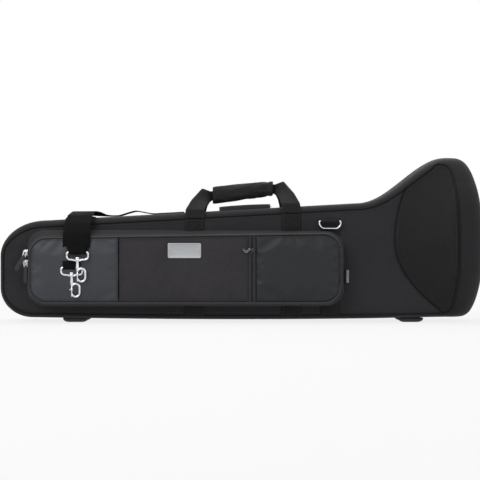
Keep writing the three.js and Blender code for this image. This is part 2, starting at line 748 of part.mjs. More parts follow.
const hoodLength = 100;
const hoodOffset = 4;
const hoodLeftX = (handleWebLeftX + handleWebRightX - hoodLength) / 2 + hoodOffset;
const hoodRightX = hoodLeftX + hoodLength;
const hoodHalfDepth = 32;
const hoodRise = 8.4;
const hoodWall = 3;

// The hood's section at x, from a height over the top edge up to another, with sloping shoulders.
function hoodRing(x, halfDepth, from, to) {
  const shoulder = halfDepth - hoodRise / 2;
  const outline = [[-halfDepth, from], [halfDepth, from], [halfDepth, (from + to) / 2], [shoulder, to],
    [-shoulder, to], [-halfDepth, (from + to) / 2]];
  return outline.map(([y, rise]) => vec(x, y, topZ(x) + rise));
}

const hoodOuter = loft([hoodLeftX, hoodRightX].map((x) => hoodRing(x, hoodHalfDepth, clearance, hoodRise)));
const hoodInner = loft([hoodLeftX - overrun, hoodRightX + overrun].map((x) =>
  hoodRing(x, hoodHalfDepth - hoodWall, -overrun, hoodRise - hoodWall)));
place("zip_hood", hoodOuter.subtract(hoodInner), wovenNylon);

// The two main sliders on the zip under the hood, each with a flat pull that points away from the other

const mainSliderGap = 30;
const mainSliderInset = 41;
const mainSliderMiddleX = hoodRightX - mainSliderInset;
const mainSliderXs = { left: mainSliderMiddleX - mainSliderGap / 2, right: mainSliderMiddleX + mainSliderGap / 2 };
const mainPullLength = 24;
const mainPullThickness = 1.2;
const mainPullWidth = 8;
const mainSliderHeight = 2.6;
const topSlopeAngle = Math.atan((slideTopRight - slideTopLeft) / (flareStartX - tailTopCentreX));
for (const [name, way] of [["left", -1], ["right", 1]]) {
  const x = mainSliderXs[name];
  const group = new THREE.Matrix4().makeRotationY(-topSlopeAngle);
  group.setPosition(x, 0, topZ(x) + coilHeight + clearance);
  const turned = (solid) => solid.transform(group.elements);
  const half = sliderLength / 2;
  const body = block(-half, half, -sliderWidth / 2, sliderWidth / 2, 0, mainSliderHeight);
  place(`main_slider_${name}`, turned(body), chrome);
  const [near, far] = [way * half, way * (half + mainPullLength)].toSorted((a, b) => a - b);
  const gap = clearance * way;
  const top = mainSliderHeight;
  const pull = block(near + gap, far + gap, -mainPullWidth / 2, mainPullWidth / 2, top - mainPullThickness, top);
  place(`main_pull_${name}`, turned(pull), chrome);
}

// Small chevron pull of the side zip, on a slider that runs down the pocket front

const sideSliderZ = 144;
const sideSliderShare = 0.6;
const sideSliderX = pocketSeamRightX + sideZipWidth * sideSliderShare;
const sideSliderHeight = 3;
const sideSliderWidth = 7;
const sideSliderLength = 11;
const sidePullWidth = 10;
const sidePullLength = 17;
const sliderFaceY = pocketFrontY - clearance;
const sideBody = block(sideSliderX - sideSliderWidth / 2, sideSliderX + sideSliderWidth / 2,
  sliderFaceY - sideSliderHeight, sliderFaceY, sideSliderZ - sideSliderLength / 2, sideSliderZ + sideSliderLength / 2);
place("side_slider", sideBody, plastic);
const chevronShares = [[0.5, 0.2], [0.2, 0.5], [-0.5, 0.1], [-0.1, 0], [-0.5, -0.1], [0.2, -0.5], [0.5, -0.2]];
const chevronX = sideSliderX - sideSliderWidth / 2 - clearance - sidePullLength / 2;
const chevron = chevronShares.map(([along, up]) =>
  new THREE.Vector2(chevronX + along * sidePullLength, sideSliderZ + up * sidePullWidth));
place("side_pull", plateXZ(chevron, sliderFaceY - sideSliderHeight, sliderFaceY - clearance), plateMetal);

// Tab that ends the pocket's zip, flat on the front panel

const tabWidth = 10.5;
const tabHeight = 26;
const tabZ = 92.5;
const tabX = pocketRightX + tabWidth / 2 + 2 * clearance;
const tabOutline = roundRect(tabX, tabZ, tabWidth, tabHeight, tabWidth / 4);
place("zipper_end_tab", plateXZ(tabOutline, pocketBackY - webThickness, pocketBackY), leather);

// Shoulder strap thrown over the tail: its two ends hang down in front, and its loop and pad hang behind

const strapEndZ = { a: 143, b: 113 };
const hookY = { a: -106, b: -99 };
const hookOffset = { a: 5, b: -7 };
const hookX = { a: strapUpX + hookOffset.a, b: strapUpX + hookOffset.b };
const strapBehindY = rearDepth + clearance + strapThickness / 2;
const strapLoopZ = 62;

// The strap's route, chosen by hand. Each row names what its x, y and z are counted from, and gives in shares of the
// strap's width how far the middle of the webbing lies from there, and then the way from the middle to one edge.
const strapFromX = { up: strapUpX, down: strapDownX };
const strapFromY = { pocket: pocketFrontY, middle: 0, rear: rearDepth };
const strapFromZ = { hookA: strapEndZ.a, hookB: strapEndZ.b, loop: strapLoopZ };
const strapRouteShares = [
  ["up", "pocket", "hookA", 0.1, -0.186, 0, 0.36, 0, 0],
  ["up", "pocket", "hookA", 0.1, -0.114, 0.18, 0.48, 0, 0],
  ["up", "pocket", "top", 0.1, -0.074, -0.843, 0.5, 0, 0],
  ["up", "pocket", "top", 0.12, -0.024, -0.584, 0.5, 0, 0],
  ["up", "pocket", "top", 0.16, 0.206, -0.207, 0.5, 0, 0],
  ["up", "middle", "top", 0.2, -1.32, 0.121, 0.5, 0, 0],
  ["up", "middle", "top", 0.28, -0.9, 0.277, 0.48, -0.14, 0],
  ["up", "middle", "top", 0.46, -0.4, 0.237, 0.42, -0.28, 0],
  ["up", "middle", "top", 0.78, 0.1, 0.109, 0.32, -0.38, 0],
  ["up", "middle", "top", 1.16, 0.48, 0.068, 0.14, -0.48, 0],
  ["up", "middle", "top", 1.56, 0.64, 0.056, 0, -0.5, 0],
  ["up", "middle", "top", 1.9, 0.64, 0.147, 0, -0.5, 0],
  ["up", "middle", "top", 2.22, 0.64, 0.219, 0, -0.5, 0],
  ["up", "middle", "top", 2.54, 0.64, 0.141, 0, -0.5, 0],
  ["up", "middle", "top", 2.92, 0.64, 0.052, 0, -0.5, 0],
  ["down", "middle", "top", 0, 0.64, 0.059, 0.5, -0.5, 0.02],
  ["down", "middle", "top", 0, 1.24, 0.075, 0.5, 0, 0.028],
  ["down", "middle", "top", 0, 1.51, 0.035, 0.5, 0, 0.028],
  ["down", "middle", "top", 0, 1.67, -0.065, 0.5, 0, 0.028],
  ["down", "rear", "top", 0, 0.048, -0.237, 0.5, 0, 0.028],
  ["down", "rear", "top", 0, 0.048, -0.437, 0.5, 0, 0.028],
  ["down", "rear", "top", 0, 0.028, -0.717, 0.5, 0, 0],
  ["down", "rear", "loop", 0, 0.028, 0, 0.5, 0, -0.5],
  ["up", "rear", "loop", 0, 0.028, 0, -0.5, 0, -0.5],
  ["up", "rear", "top", 0, 0.028, -0.638, -0.5, 0, 0],
  ["up", "rear", "top", 0, 0.048, -0.418, -0.5, 0, -0.028],
  ["up", "rear", "top", 0, 0.048, -0.218, -0.5, 0, -0.028],
  ["up", "middle", "top", 0, 1.67, -0.066, -0.5, 0, -0.028],
  ["up", "middle", "top", 0, 1.5, 0.034, -0.5, 0, -0.028],
  ["up", "middle", "top", 0, 1.24, 0.066, -0.5, 0, -0.028],
  ["up", "middle", "top", 0, -0.8, 0.062, -0.5, 0, -0.028],
  ["up", "middle", "top", 0, -1.1, 0.002, -0.5, 0, -0.028],
  ["up", "middle", "top", 0, -1.4, -0.178, -0.5, 0, 0],
  ["up", "pocket", "top", 0, 0.206, -0.438, -0.5, 0, 0],
  ["up", "pocket", "top", 0, -0.006, -0.618, -0.5, 0, 0],
  ["up", "pocket", "top", 0, -0.03, -0.738, -0.5, 0, 0],
  ["up", "pocket", "top", -0.02, -0.03, -1.557, -0.5, 0, 0],
  ["up", "pocket", "hookB", -0.06, -0.038, 0.18, -0.48, 0, 0],
  ["up", "pocket", "hookB", -0.12, -0.074, 0, -0.36, 0, 0],
];
const strapStations = strapRouteShares.map(([fromX, fromY, fromZ, x, y, z, ax, ay, az]) => {
  const centreX = strapFromX[fromX] + x * strapWidth;
  const centreZ = (fromZ === "top" ? topZ(centreX) : strapFromZ[fromZ]) + z * strapWidth;
  return {
    centre: vec(centreX, strapFromY[fromY] + y * strapWidth, centreZ),
    across: vec(ax, ay, az).multiplyScalar(strapWidth),
  };
});
place("strap_web", ribbon(strapStations, strapThickness), webbing);

const padLength = 150;
const padHeight = 66;
const padThickness = 8;
const padX = (strapDownX + strapUpX) / 2;
const padNearY = strapBehindY + strapThickness / 2 + clearance;
const padLevelShares = [[0, 0], [0.55, 0], [0.9, 0.08], [1, 0.2]];
const padRings = padLevelShares.map(([depthShare, insetShare]) => {
  const inset = padHeight * insetShare;
  return roundRect(padX, strapLoopZ, padLength - 2 * inset, padHeight - 2 * inset, padHeight / 3 - inset / 2)
    .map((p) => vec(p.x, padNearY + padThickness * depthShare, p.y));
});
place("strap_pad", loft(padRings), plush);

const glideZ = 140;
const glideWidth = 58;
const glideHeight = 30;
const glideBar = 4;
const glideY = [padNearY, padNearY + strapThickness];
const glideFrame = plateXZ(roundRect(strapDownX, glideZ, glideWidth, glideHeight, glideBar), ...glideY);
const slotHeight = (glideHeight - 3 * glideBar) / 2;
const glideSlots = [-1, 1].map((way) => {
  const slotZ = glideZ + way * (slotHeight + glideBar) / 2;
  const slot = roundRect(strapDownX, slotZ, glideWidth - 2 * glideBar, slotHeight, slotHeight / 4);
  return plateXZ(slot, glideY[0] - overrun, glideY[1] + overrun);
});
place("strap_glide", cut(glideFrame, ...glideSlots), plastic);

// Swivel hooks that end the strap: a wide eye, a barrel that turns in it, and a ring with a sprung bolt

const eyeWidth = 46;
const eyeHeight = 16;
const eyeWire = 4;
const eyeRadius = 5;
const swivelPinRadius = 2;
const swivelHeadRadius = 3.2;
const barrelRadius = 4;
const barrelHeight = 7.5;
const stemRadius = 3;
const stemLength = 15.5;
const snapWidth = 19;
const snapHeight = 25;
const snapWire = 3.6;
const snapRadius = 8;
const boltRadius = 1.4;
const boltTravel = 8.5;
const studReach = 4.5;
const studRadius = 0.9;
for (const end of ["a", "b"]) {
  const [x, y, top] = [hookX[end], hookY[end], strapEndZ[end] - 1.5 * clearance];
  const faces = [y - eyeWire / 2, y + eyeWire / 2];
  const eyeOuter = plateXZ(roundRect(x, top - eyeHeight / 2, eyeWidth, eyeHeight, eyeRadius), ...faces);
  const holeWidth = eyeWidth - 2 * eyeWire;
  const hole = roundRect(x, top - eyeHeight / 2, holeWidth, eyeHeight - 2 * eyeWire, eyeRadius / 2);
  const eyeHole = plateXZ(hole, faces[0] - overrun, faces[1] + overrun);
  const eyeBottom = top - eyeHeight;
  const pinTop = eyeBottom + eyeWire;
  const pinBore = bar(vec(x, y, eyeBottom - overrun), vec(x, y, pinTop + overrun), swivelPinRadius + clearance);
  place(`hook_${end}_eye`, cut(eyeOuter, eyeHole, pinBore.intersect(block(x - overrun, x + overrun,
    y - overrun, y + overrun, eyeBottom - overrun, pinTop + clearance))), chrome);

  const barrelTop = eyeBottom - clearance;
  const stemTop = barrelTop - barrelHeight;
  const stemBottom = stemTop - stemLength;
  const headZ = pinTop + clearance;
  const pin = bar(vec(x, y, stemTop), vec(x, y, headZ + swivelPinRadius / 2), swivelPinRadius);
  const head = bar(vec(x, y, headZ), vec(x, y, headZ + swivelPinRadius), swivelHeadRadius);
  const barrel = bar(vec(x, y, stemTop), vec(x, y, barrelTop), barrelRadius, roundSides);
  const stem = bar(vec(x, y, stemBottom), vec(x, y, stemTop + clearance), stemRadius, roundSides);
  const snapX = x + snapWidth / 2 - snapWire / 2;
  const snapZ = stemBottom - snapHeight / 2 + snapWire;
  const snapFaces = [y - snapWire / 2, y + snapWire / 2];
  const snapOuter = roundRect(snapX, snapZ, snapWidth, snapHeight, snapRadius);
  const inner = [snapWidth - 2 * snapWire, snapHeight - 2 * snapWire, snapRadius - snapWire];
  const snapFull = plateXZ(snapOuter, ...snapFaces);
  const snapHole = plateXZ(roundRect(snapX, snapZ, ...inner), snapFaces[0] - overrun, snapFaces[1] + overrun);
  const tipZ = snapZ - snapHeight / 2 + snapWire;
  const gate = block(x - snapWidth, x + boltRadius + clearance, snapFaces[0] - overrun, snapFaces[1] + overrun,
    tipZ - snapWire, stemBottom);
  const boltTop = stemTop - boltTravel - 2 * clearance;
  const boltBore = bar(vec(x, y, tipZ), vec(x, y, stemTop - clearance), boltRadius + clearance, thinSides);
  const slotSide = studRadius + clearance;
  const slotBottom = stemBottom + slotSide;
  const slot = block(x - overrun, x, y - slotSide, y + slotSide, slotBottom, slotBottom + boltTravel + 3 * slotSide);
  const body = cut(join(stem, cut(snapFull, snapHole, gate)), boltBore, slot);
  place(`hook_${end}_body`, join(body, barrel, pin, head), chrome);

  const bolt = bar(vec(x, y, tipZ - snapWire), vec(x, y, boltTop), boltRadius, thinSides);
  const studZ = slotBottom + slotSide;
  const stud = bar(vec(x, y, studZ), vec(x - studReach, y, studZ), studRadius, thinSides);
  place(`hook_${end}_bolt`, join(bolt, stud), chrome);
}

// Inside of the case: foam blocks glued on the plush of the rear half, and a pad on the lid's

const rearCavity = halfSolid(1, hollowInset + clearance, clearance);
const frontCavity = halfSolid(-1, hollowInset + clearance, clearance);
const blockLength = 40;
const blockFaceY = 36;
const slideTubeGap = 85;
const slideTubeSlot = 22;
const slideTubeZ = 105;
const slideSlotDepth = 20;
const inside = (x0, x1, y0, z0, z1) => block(x0, x1, y0, rearBellDepth, z0, z1).intersect(rearCavity);

// A notch of one tube's width, open to the front.
const notch = (x, z) => block(x - blockLength, x + blockLength, -overrun, blockFaceY + slideSlotDepth,
  z - slideTubeSlot / 2, z + slideTubeSlot / 2);
const blockTailGap = 140;
const blockFlareGap = 67;
for (const [end, x] of [["left", blockTailGap - halfLength], ["right", flareStartX - blockFlareGap]]) {
  const full = inside(x - blockLength / 2, x + blockLength / 2, blockFaceY, 0, bellTop);
  const notches = [-1, 1].map((way) => notch(x, slideTubeZ + way * slideTubeGap / 2));
  place(`slide_block_${end}`, cut(full, ...notches), foam);
}

const saddleFlareGap = 18;
const saddleX = flareStartX + saddleFlareGap;
const neckRadius = 24;
const neckZ = 150;
const neckBore = bar(vec(saddleX - blockLength, blockFaceY, neckZ), vec(saddleX + blockLength, blockFaceY, neckZ),
  neckRadius, neckSides);
const saddleFull = inside(saddleX - blockLength / 2, saddleX + blockLength / 2, blockFaceY, 0, bellTop);
place("bell_saddle", saddleFull.subtract(neckBore), foam);

const bellRadius = 108;
const bellSlack = 4;
const rimPadFlareGap = 52;
const rimPadX = flareEndX - rimPadFlareGap;
const rimPadLength = 30;
const rimPadY = 12;
const rimBore = bar(vec(rimPadX - rimPadLength, 0, bellRoundCentreZ), vec(rimPadX + rimPadLength, 0, bellRoundCentreZ),
  bellRadius + bellSlack, bellSides);
const rimFull = inside(rimPadX - rimPadLength / 2, rimPadX + rimPadLength / 2, rimPadY, 0, bellRoundCentreZ);
place("bell_rim_pad", rimFull.subtract(rimBore), foam);

const mouthpieceTailGap = 55;
const mouthpieceX = mouthpieceTailGap - halfLength;
const mouthpieceZ = 105;
const mouthpieceBlockHeight = 96;
const mouthpieceRadius = 13;
const mouthpieceDepth = 24;
const mouthpieceGap = 44;
const mouthpieceFull = inside(mouthpieceX - blockLength / 2, mouthpieceX + blockLength / 2, blockFaceY,
  mouthpieceZ - mouthpieceBlockHeight / 2, mouthpieceZ + mouthpieceBlockHeight / 2);
const mouthpieceHoles = [-1, 1].map((way) => {
  const z = mouthpieceZ + way * mouthpieceGap / 2;
  return bar(vec(mouthpieceX, -overrun, z), vec(mouthpieceX, blockFaceY + mouthpieceDepth, z), mouthpieceRadius, roundSides);
});
place("mouthpiece_block", cut(mouthpieceFull, ...mouthpieceHoles), foam);

const dividerThickness = 5;
const dividerShares = { left: 0.5758, right: 0.7725 };
const dividerTop = 104;
for (const end of ["left", "right"]) {
  const x = alongSlide(dividerShares[end]);
  place(`compartment_wall_${end}`, inside(x, x + dividerThickness, coverStart, 0, dividerTop), foam);
}

const lidPadThickness = 9;
const lidPadTailGap = 80;
const lidPadFlareGap = 42;
const lidPadBottomZ = 40;
const lidPadTopZ = 170;
const lidPadY = hollowInset + clearance + lidPadThickness - frontDepth;
const lidPadSpan = block(lidPadTailGap - halfLength, flareStartX - lidPadFlareGap, -frontBellDepth, lidPadY, lidPadBottomZ, lidPadTopZ);
place("lid_pad", lidPadSpan.intersect(frontCavity), plush);

export default root;
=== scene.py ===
"""Trombone case with a soft cover, standing on its feet, seen square on from its pocket side. All lengths are in
metres."""
import math

import bmesh
import bpy
import numpy as np
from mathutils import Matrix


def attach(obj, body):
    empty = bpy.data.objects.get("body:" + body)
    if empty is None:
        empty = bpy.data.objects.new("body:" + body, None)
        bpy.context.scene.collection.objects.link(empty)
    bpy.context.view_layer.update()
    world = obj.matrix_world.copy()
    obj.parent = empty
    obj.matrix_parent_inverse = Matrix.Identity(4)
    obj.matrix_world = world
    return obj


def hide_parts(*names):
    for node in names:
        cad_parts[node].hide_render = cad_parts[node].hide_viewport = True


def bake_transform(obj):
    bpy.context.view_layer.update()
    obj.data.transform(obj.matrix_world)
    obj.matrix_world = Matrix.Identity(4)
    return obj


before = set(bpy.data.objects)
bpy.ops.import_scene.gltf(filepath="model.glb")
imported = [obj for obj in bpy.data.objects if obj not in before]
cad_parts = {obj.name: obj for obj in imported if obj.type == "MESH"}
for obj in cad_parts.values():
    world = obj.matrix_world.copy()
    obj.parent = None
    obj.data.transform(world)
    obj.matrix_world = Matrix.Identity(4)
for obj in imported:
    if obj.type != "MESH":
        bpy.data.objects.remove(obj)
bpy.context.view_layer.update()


# Camera, lamps and floor. A long lens stands level with the middle of the case, a large soft lamp hangs to the
# upper left, and the surroundings are white only for the camera and for reflections.
def linear(colour):
    """sRGB hex to linear RGBA: below 0.04045 the value over 12.92, above it ((v + 0.055) / 1.055) to the power 2.4."""
    share = np.array([int(colour[i:i + 2], 16) for i in (1, 3, 5)]) / 255
    value = np.where(share <= 0.04045, share / 12.92, ((share + 0.055) / 1.055) ** 2.4)
    return (*(float(v) for v in value), 1.0)


def node(tree, kind, settings=None, inputs=None):
    """Adds a shader node, sets its settings, and sets each input to a value or links it to an output."""
    made = tree.nodes.new("ShaderNode" + kind)
    for name, value in (settings or {}).items():
        setattr(made, name, value)
    for key, value in (inputs or {}).items():
        if isinstance(value, bpy.types.NodeSocket):
            tree.links.new(value, made.inputs[key])
        else:
            made.inputs[key].default_value = value
    return made


def blank_material(name):
    """A new material and its node tree, with no node in it."""
    made = bpy.data.materials.new(name)
    made.use_nodes = True
    made.node_tree.nodes.clear()
    return made, made.node_tree


def seen_apart(tree, plain, seen):
    """Mixes a plain shader with another that only camera, glossy and transmission rays meet."""
    path = node(tree, "LightPath").outputs
    glossy = node(tree, "Math", {"operation": "MAXIMUM"}, {0: path["Is Camera Ray"], 1: path["Is Glossy Ray"]})
    any_of = node(tree, "Math", {"operation": "MAXIMUM"}, {0: glossy.outputs[0], 1: path["Is Transmission Ray"]})
    return node(tree, "MixShader", {}, {0: any_of.outputs[0], 1: plain.outputs[0], 2: seen.outputs[0]})


scene = bpy.context.scene
scene.view_settings.view_transform = "Standard"
camera_height = 0.165
camera_distance = 3.0
camera = bpy.data.objects.new("camera", bpy.data.cameras.new("camera"))
camera.data.sensor_width = 36.0
camera.data.lens = 110.6
camera.location = (0.0, -camera_distance, camera_height)
camera.rotation_euler = (math.pi / 2, 0.0, 0.0)
scene.collection.objects.link(camera)
scene.camera = camera

world = bpy.data.worlds.new("studio")
world.use_nodes = True
world.node_tree.nodes.clear()
room = node(world.node_tree, "Background", {}, {"Color": linear("#f4f6fa"), "Strength": 0.42})
backdrop = node(world.node_tree, "Background", {}, {"Color": linear("#ffffff"), "Strength": 1.0})
sky = seen_apart(world.node_tree, room, backdrop)
node(world.node_tree, "OutputWorld", {}, {"Surface": sky.outputs[0]})
scene.world = world

lamp_target = (0.0, 0.0, 0.15)
# Each lamp's name, place, size and power in watts.
lamps = [
    ("key_lamp", (-1.5, -1.9, 1.9), 1.6, 34.0),
    ("fill_lamp", (1.7, -2.0, 0.9), 1.8, 7.0),
    ("top_lamp", (0.1, 0.4, 2.0), 1.4, 14.0),
    ("back_lamp", (0.4, 2.4, 1.3), 1.6, 16.0),
]
for name, place, size, power in lamps:
    lamp = bpy.data.objects.new(name, bpy.data.lights.new(name, "AREA"))
    lamp.data.size = size
    lamp.data.energy = power
    lamp.location = place
    to_case = np.array(lamp_target) - np.array(place)
    lamp.rotation_euler = (
        math.acos(-to_case[2] / np.linalg.norm(to_case)),
        0.0,
        math.atan2(to_case[1], to_case[0]) - math.pi / 2,
    )
    scene.collection.objects.link(lamp)

floor_half = 6.0
floor_clear = 0.82
floor_mesh = bpy.data.meshes.new("floor")
floor_mesh.from_pydata(
    [(-floor_half, -floor_half, 0), (floor_half, -floor_half, 0), (floor_half, floor_half, 0),
     (-floor_half, floor_half, 0)],
    [], [(0, 1, 2, 3)])
floor = bpy.data.objects.new("floor", floor_mesh)
scene.collection.objects.link(floor)
# Matt white paper: diffuse to the light. The camera looks mostly through it, to the white surroundings and to the lid,
# which swings below the floor when the standing case is opened.
paper, tree = blank_material("matt_white_paper")
paper_plain = node(tree, "BsdfDiffuse", {}, {"Color": linear("#e8e8e8")})
paper_clear = node(tree, "BsdfTransparent", {}, {"Color": linear("#ffffff")})
paper_floor = node(tree, "MixShader", {}, {0: floor_clear, 1: paper_plain.outputs[0], 2: paper_clear.outputs[0]})
paper_seen = seen_apart(tree, paper_plain, paper_floor)
node(tree, "OutputMaterial", {}, {"Surface": paper_seen.outputs[0]})
floor_mesh.materials.append(paper)


# Cover. Woven nylon is sewn over moulded foam: a wall runs round each half and is joined to a padded panel by a
# piped seam, and over the bell the panel is a second piece of cloth let in along an arc.
def surface(name, points, material, around=False, along_closed=False, thickness=0.0):
    """A mesh from a grid of points, rows by columns, with its map in metres measured along both ways.
    around closes the columns into a ring, along_closed the rows, and thickness is added inwards."""
    rows, columns = points.shape[:2]
    last_row = rows if along_closed else rows - 1
    last_column = columns if around else columns - 1
    r, c = np.meshgrid(np.arange(last_row), np.arange(last_column), indexing="ij")
    down, right = (r + 1) % rows, (c + 1) % columns
    faces = np.stack([r * columns + c, r * columns + right, down * columns + right, down * columns + c], -1)
    mesh = bpy.data.meshes.new(name)
    mesh.vertices.add(rows * columns)
    mesh.vertices.foreach_set("co", points.astype(np.float32).ravel())
    corners = faces.reshape(-1).astype(np.int32)
    mesh.loops.add(corners.size)
    mesh.loops.foreach_set("vertex_index", corners)
    mesh.polygons.add(corners.size // 4)
    mesh.polygons.foreach_set("loop_start", np.arange(0, corners.size, 4, dtype=np.int32))
    step_u = np.linalg.norm(np.diff(points, axis=0, append=points[:1]), axis=2).mean(1)
    step_v = np.linalg.norm(np.diff(points, axis=1, append=points[:, :1]), axis=2).mean(0)
    u = np.concatenate([[0.0], np.cumsum(step_u)])
    v = np.concatenate([[0.0], np.cumsum(step_v)])
    flat = np.stack([
        np.stack([u[r], v[c]], -1), np.stack([u[r], v[c + 1]], -1),
        np.stack([u[r + 1], v[c + 1]], -1), np.stack([u[r + 1], v[c]], -1)], 2)
    layer = mesh.uv_layers.new(name="cloth")
    layer.data.foreach_set("uv", flat.astype(np.float32).ravel())
    mesh.update(calc_edges=True)
    mesh.shade_smooth()
    mesh.materials.append(material)
    made = bpy.data.objects.new(name, mesh)
    scene.collection.objects.link(made)
    if thickness:
        solid = made.modifiers.new("thickness", "SOLIDIFY")
        solid.thickness = thickness
        solid.offset = -1.0
    return made


wave_period = 0.31416


def cloth(name, dark, light, pitch, relief, roughness, sheen=0.15, specular=0.3):
    """Plain weave: two crossed waves of the thread pitch on the cloth's map, with slubs and faint large patches.
    A wave texture of scale 1 repeats at the wave period, so its scale is that period over the pitch."""
    made, tree = blank_material(name)
    place = node(tree, "TexCoord").outputs
    waves = wave_period / pitch
    warp = node(tree, "TexWave", {"bands_direction": "X"},
                {"Vector": place["UV"], "Scale": waves, "Distortion": 0.6, "Detail": 1.0})
    weft = node(tree, "TexWave", {"bands_direction": "Y"},
                {"Vector": place["UV"], "Scale": waves, "Distortion": 0.6, "Detail": 1.0})
    threads = node(tree, "Math", {"operation": "MULTIPLY"}, {0: warp.outputs["Fac"], 1: weft.outputs["Fac"]})
    slubs = node(tree, "TexNoise", {}, {"Vector": place["Object"], "Scale": 0.35 / pitch, "Detail": 3.0})
    patches = node(tree, "TexNoise", {}, {"Vector": place["Object"], "Scale": 9.0, "Detail": 3.0, "Roughness": 0.6})
    rough = node(tree, "Math", {"operation": "MULTIPLY_ADD"}, {0: slubs.outputs["Fac"], 1: 0.5, 2: threads.outputs[0]})
    tone = node(tree, "Math", {"operation": "MULTIPLY_ADD"}, {0: patches.outputs["Fac"], 1: 0.7, 2: rough.outputs[0]})
    ramp = node(tree, "ValToRGB", {}, {"Fac": tone.outputs[0]})
    ramp.color_ramp.elements[0].position = 0.35
    ramp.color_ramp.elements[0].color = linear(dark)
    ramp.color_ramp.elements[1].position = 1.45 / 1.5
    ramp.color_ramp.elements[1].color = linear(light)
    bump = node(tree, "Bump", {}, {"Strength": 0.55, "Distance": relief, "Height": rough.outputs[0]})
    skin = node(tree, "BsdfPrincipled", {}, {
        "Base Color": ramp.outputs["Color"], "Roughness": roughness, "Specular IOR Level": specular,
        "Sheen Weight": sheen, "Sheen Roughness": 0.45, "Normal": bump.outputs["Normal"]})
    node(tree, "OutputMaterial", {}, {"Surface": skin.outputs[0]})
    return made


# Woven nylon of a heavy yarn, piece-dyed black and matt: its threads are drawn 1.6 mm apart so that they show.
woven_nylon = cloth("woven_black_nylon", "#171618", "#2d2b2e", 0.0016, 0.00022, 0.80, 0.12, 0.25)
# The bell's panel is the same weave; its deeper black is painted shade, where the bell leans away from the light.
bell_nylon_painted_shade = cloth("woven_black_nylon_bell_painted_shade", "#100f10", "#212022", 0.0016, 0.00022, 0.82, 0.08, 0.22)
# The wall is the same cloth cut across, darkened as painted shade.
wall_nylon_painted_shade = cloth("woven_black_nylon_wall_painted_shade", "#141315", "#262527", 0.0016, 0.00014, 0.82, 0.08, 0.22)


def ease(share):
    """The smooth step 3 s^2 - 2 s^3 of a share held between 0 and 1."""
    held = np.clip(share, 0, 1)
    return held * held * (3 - 2 * held)


half_length = 0.480
tail_top_x, tail_top_z, tail_top_reach, tail_top_rise = -0.390, 0.132, 0.090, 0.072
tail_bottom_x, tail_bottom_z, tail_bottom_reach, tail_bottom_drop = -0.415, 0.070, 0.065, 0.060
flare_start, flare_end = 0.232, 0.412
rise_left, rise_right, bell_top = 0.204, 0.2385, 0.330
base_z, base_sag = 0.010, 0.004
nose_top_z, nose_bottom_z, nose_bottom_drop = 0.157, 0.133, 0.123


def top_edge(x):
    """Height of the top edge: a quarter ellipse, a straight rise, a smooth step up the flare, and a blunt nose."""
    tail = tail_top_z + tail_top_rise * np.sqrt(np.clip(1 - ((tail_top_x - x) / tail_top_reach) ** 2, 0, 1))
    rise = rise_left + (rise_right - rise_left) * (x - tail_top_x) / (flare_start - tail_top_x)
    flare_share = np.clip((x - flare_start) / (flare_end - flare_start), 0, 1)
    flare = rise_right + (bell_top - rise_right) * ease(flare_share ** 1.12)
    share = np.clip((x - flare_end) / (half_length - flare_end), 0, 1)
    nose = nose_top_z + (bell_top - nose_top_z) * np.sqrt(1 - share ** 3.8)
    return np.select([x < tail_top_x, x <= flare_start, x <= flare_end], [tail, rise, flare], nose)


def bottom_edge(x):
    """Height of the bottom edge: a quarter ellipse, half a sine of sag between the ends, and a blunt nose."""
    off = (tail_bottom_x - x) / tail_bottom_reach
    tail = tail_bottom_z - tail_bottom_drop * np.sqrt(np.clip(1 - off ** 2, 0, 1))
    sag = base_z - base_sag * np.sin(np.pi * np.clip((x - tail_bottom_x) / (flare_end - tail_bottom_x), 0, 1))
    share = np.clip((x - flare_end) / (half_length - flare_end), 0, 1)
    nose = nose_bottom_z - nose_bottom_drop * np.sqrt(1 - share ** 5.6)
    return np.select([x < tail_bottom_x, x <= flare_end], [tail, sag], nose)


def joined(x, y, z):
    """Points from x, y and z, each a number or a row of numbers."""
    return np.stack(np.broadcast_arrays(x, y, z), -1)


def spaced(points, count, closed=False):
    """A polyline's points moved to even steps along its length."""
    if closed:
        points = np.vstack([points, points[:1]])
    run = np.concatenate([[0], np.cumsum(np.linalg.norm(np.diff(points, axis=0), axis=1))])
    at = np.linspace(0, run[-1], count, endpoint=not closed)
    return np.stack([np.interp(at, run, points[:, k]) for k in range(points.shape[1])], 1)


def smoothed(values, passes, closed=True):
    """Each value averaged with its neighbours, over and over."""
    for _ in range(passes):
        if closed:
            values = (np.roll(values, 1, 0) + 2 * values + np.roll(values, -1, 0)) / 4
        else:
            values = np.concatenate([values[:1], (values[:-2] + 2 * values[1:-1] + values[2:]) / 4, values[-1:]])
    return values


across_case = -half_length * np.cos(np.linspace(0, np.pi, 1200))
top_run = np.stack([across_case, top_edge(across_case)], 1)
bottom_run = np.stack([across_case, bottom_edge(across_case)], 1)[::-1]
outline = spaced(np.vstack([top_run, bottom_run]), 1000, closed=True)
outline_way = smoothed(np.roll(outline, -1, 0) - np.roll(outline, 1, 0), 6)
outline_way /= np.linalg.norm(outline_way, axis=1)[:, None]
outline_out = np.stack([-outline_way[:, 1], outline_way[:, 0]], 1)
bell_share = ease((outline[:, 0] - flare_start) / (flare_end - flare_start))


seam_drop, seam_drop_top, seam_drop_bell = 0.008, 0.004, 0.002
seam_tail_length, seam_nose_drop, seam_nose_length = 0.18, 0.052, 0.11


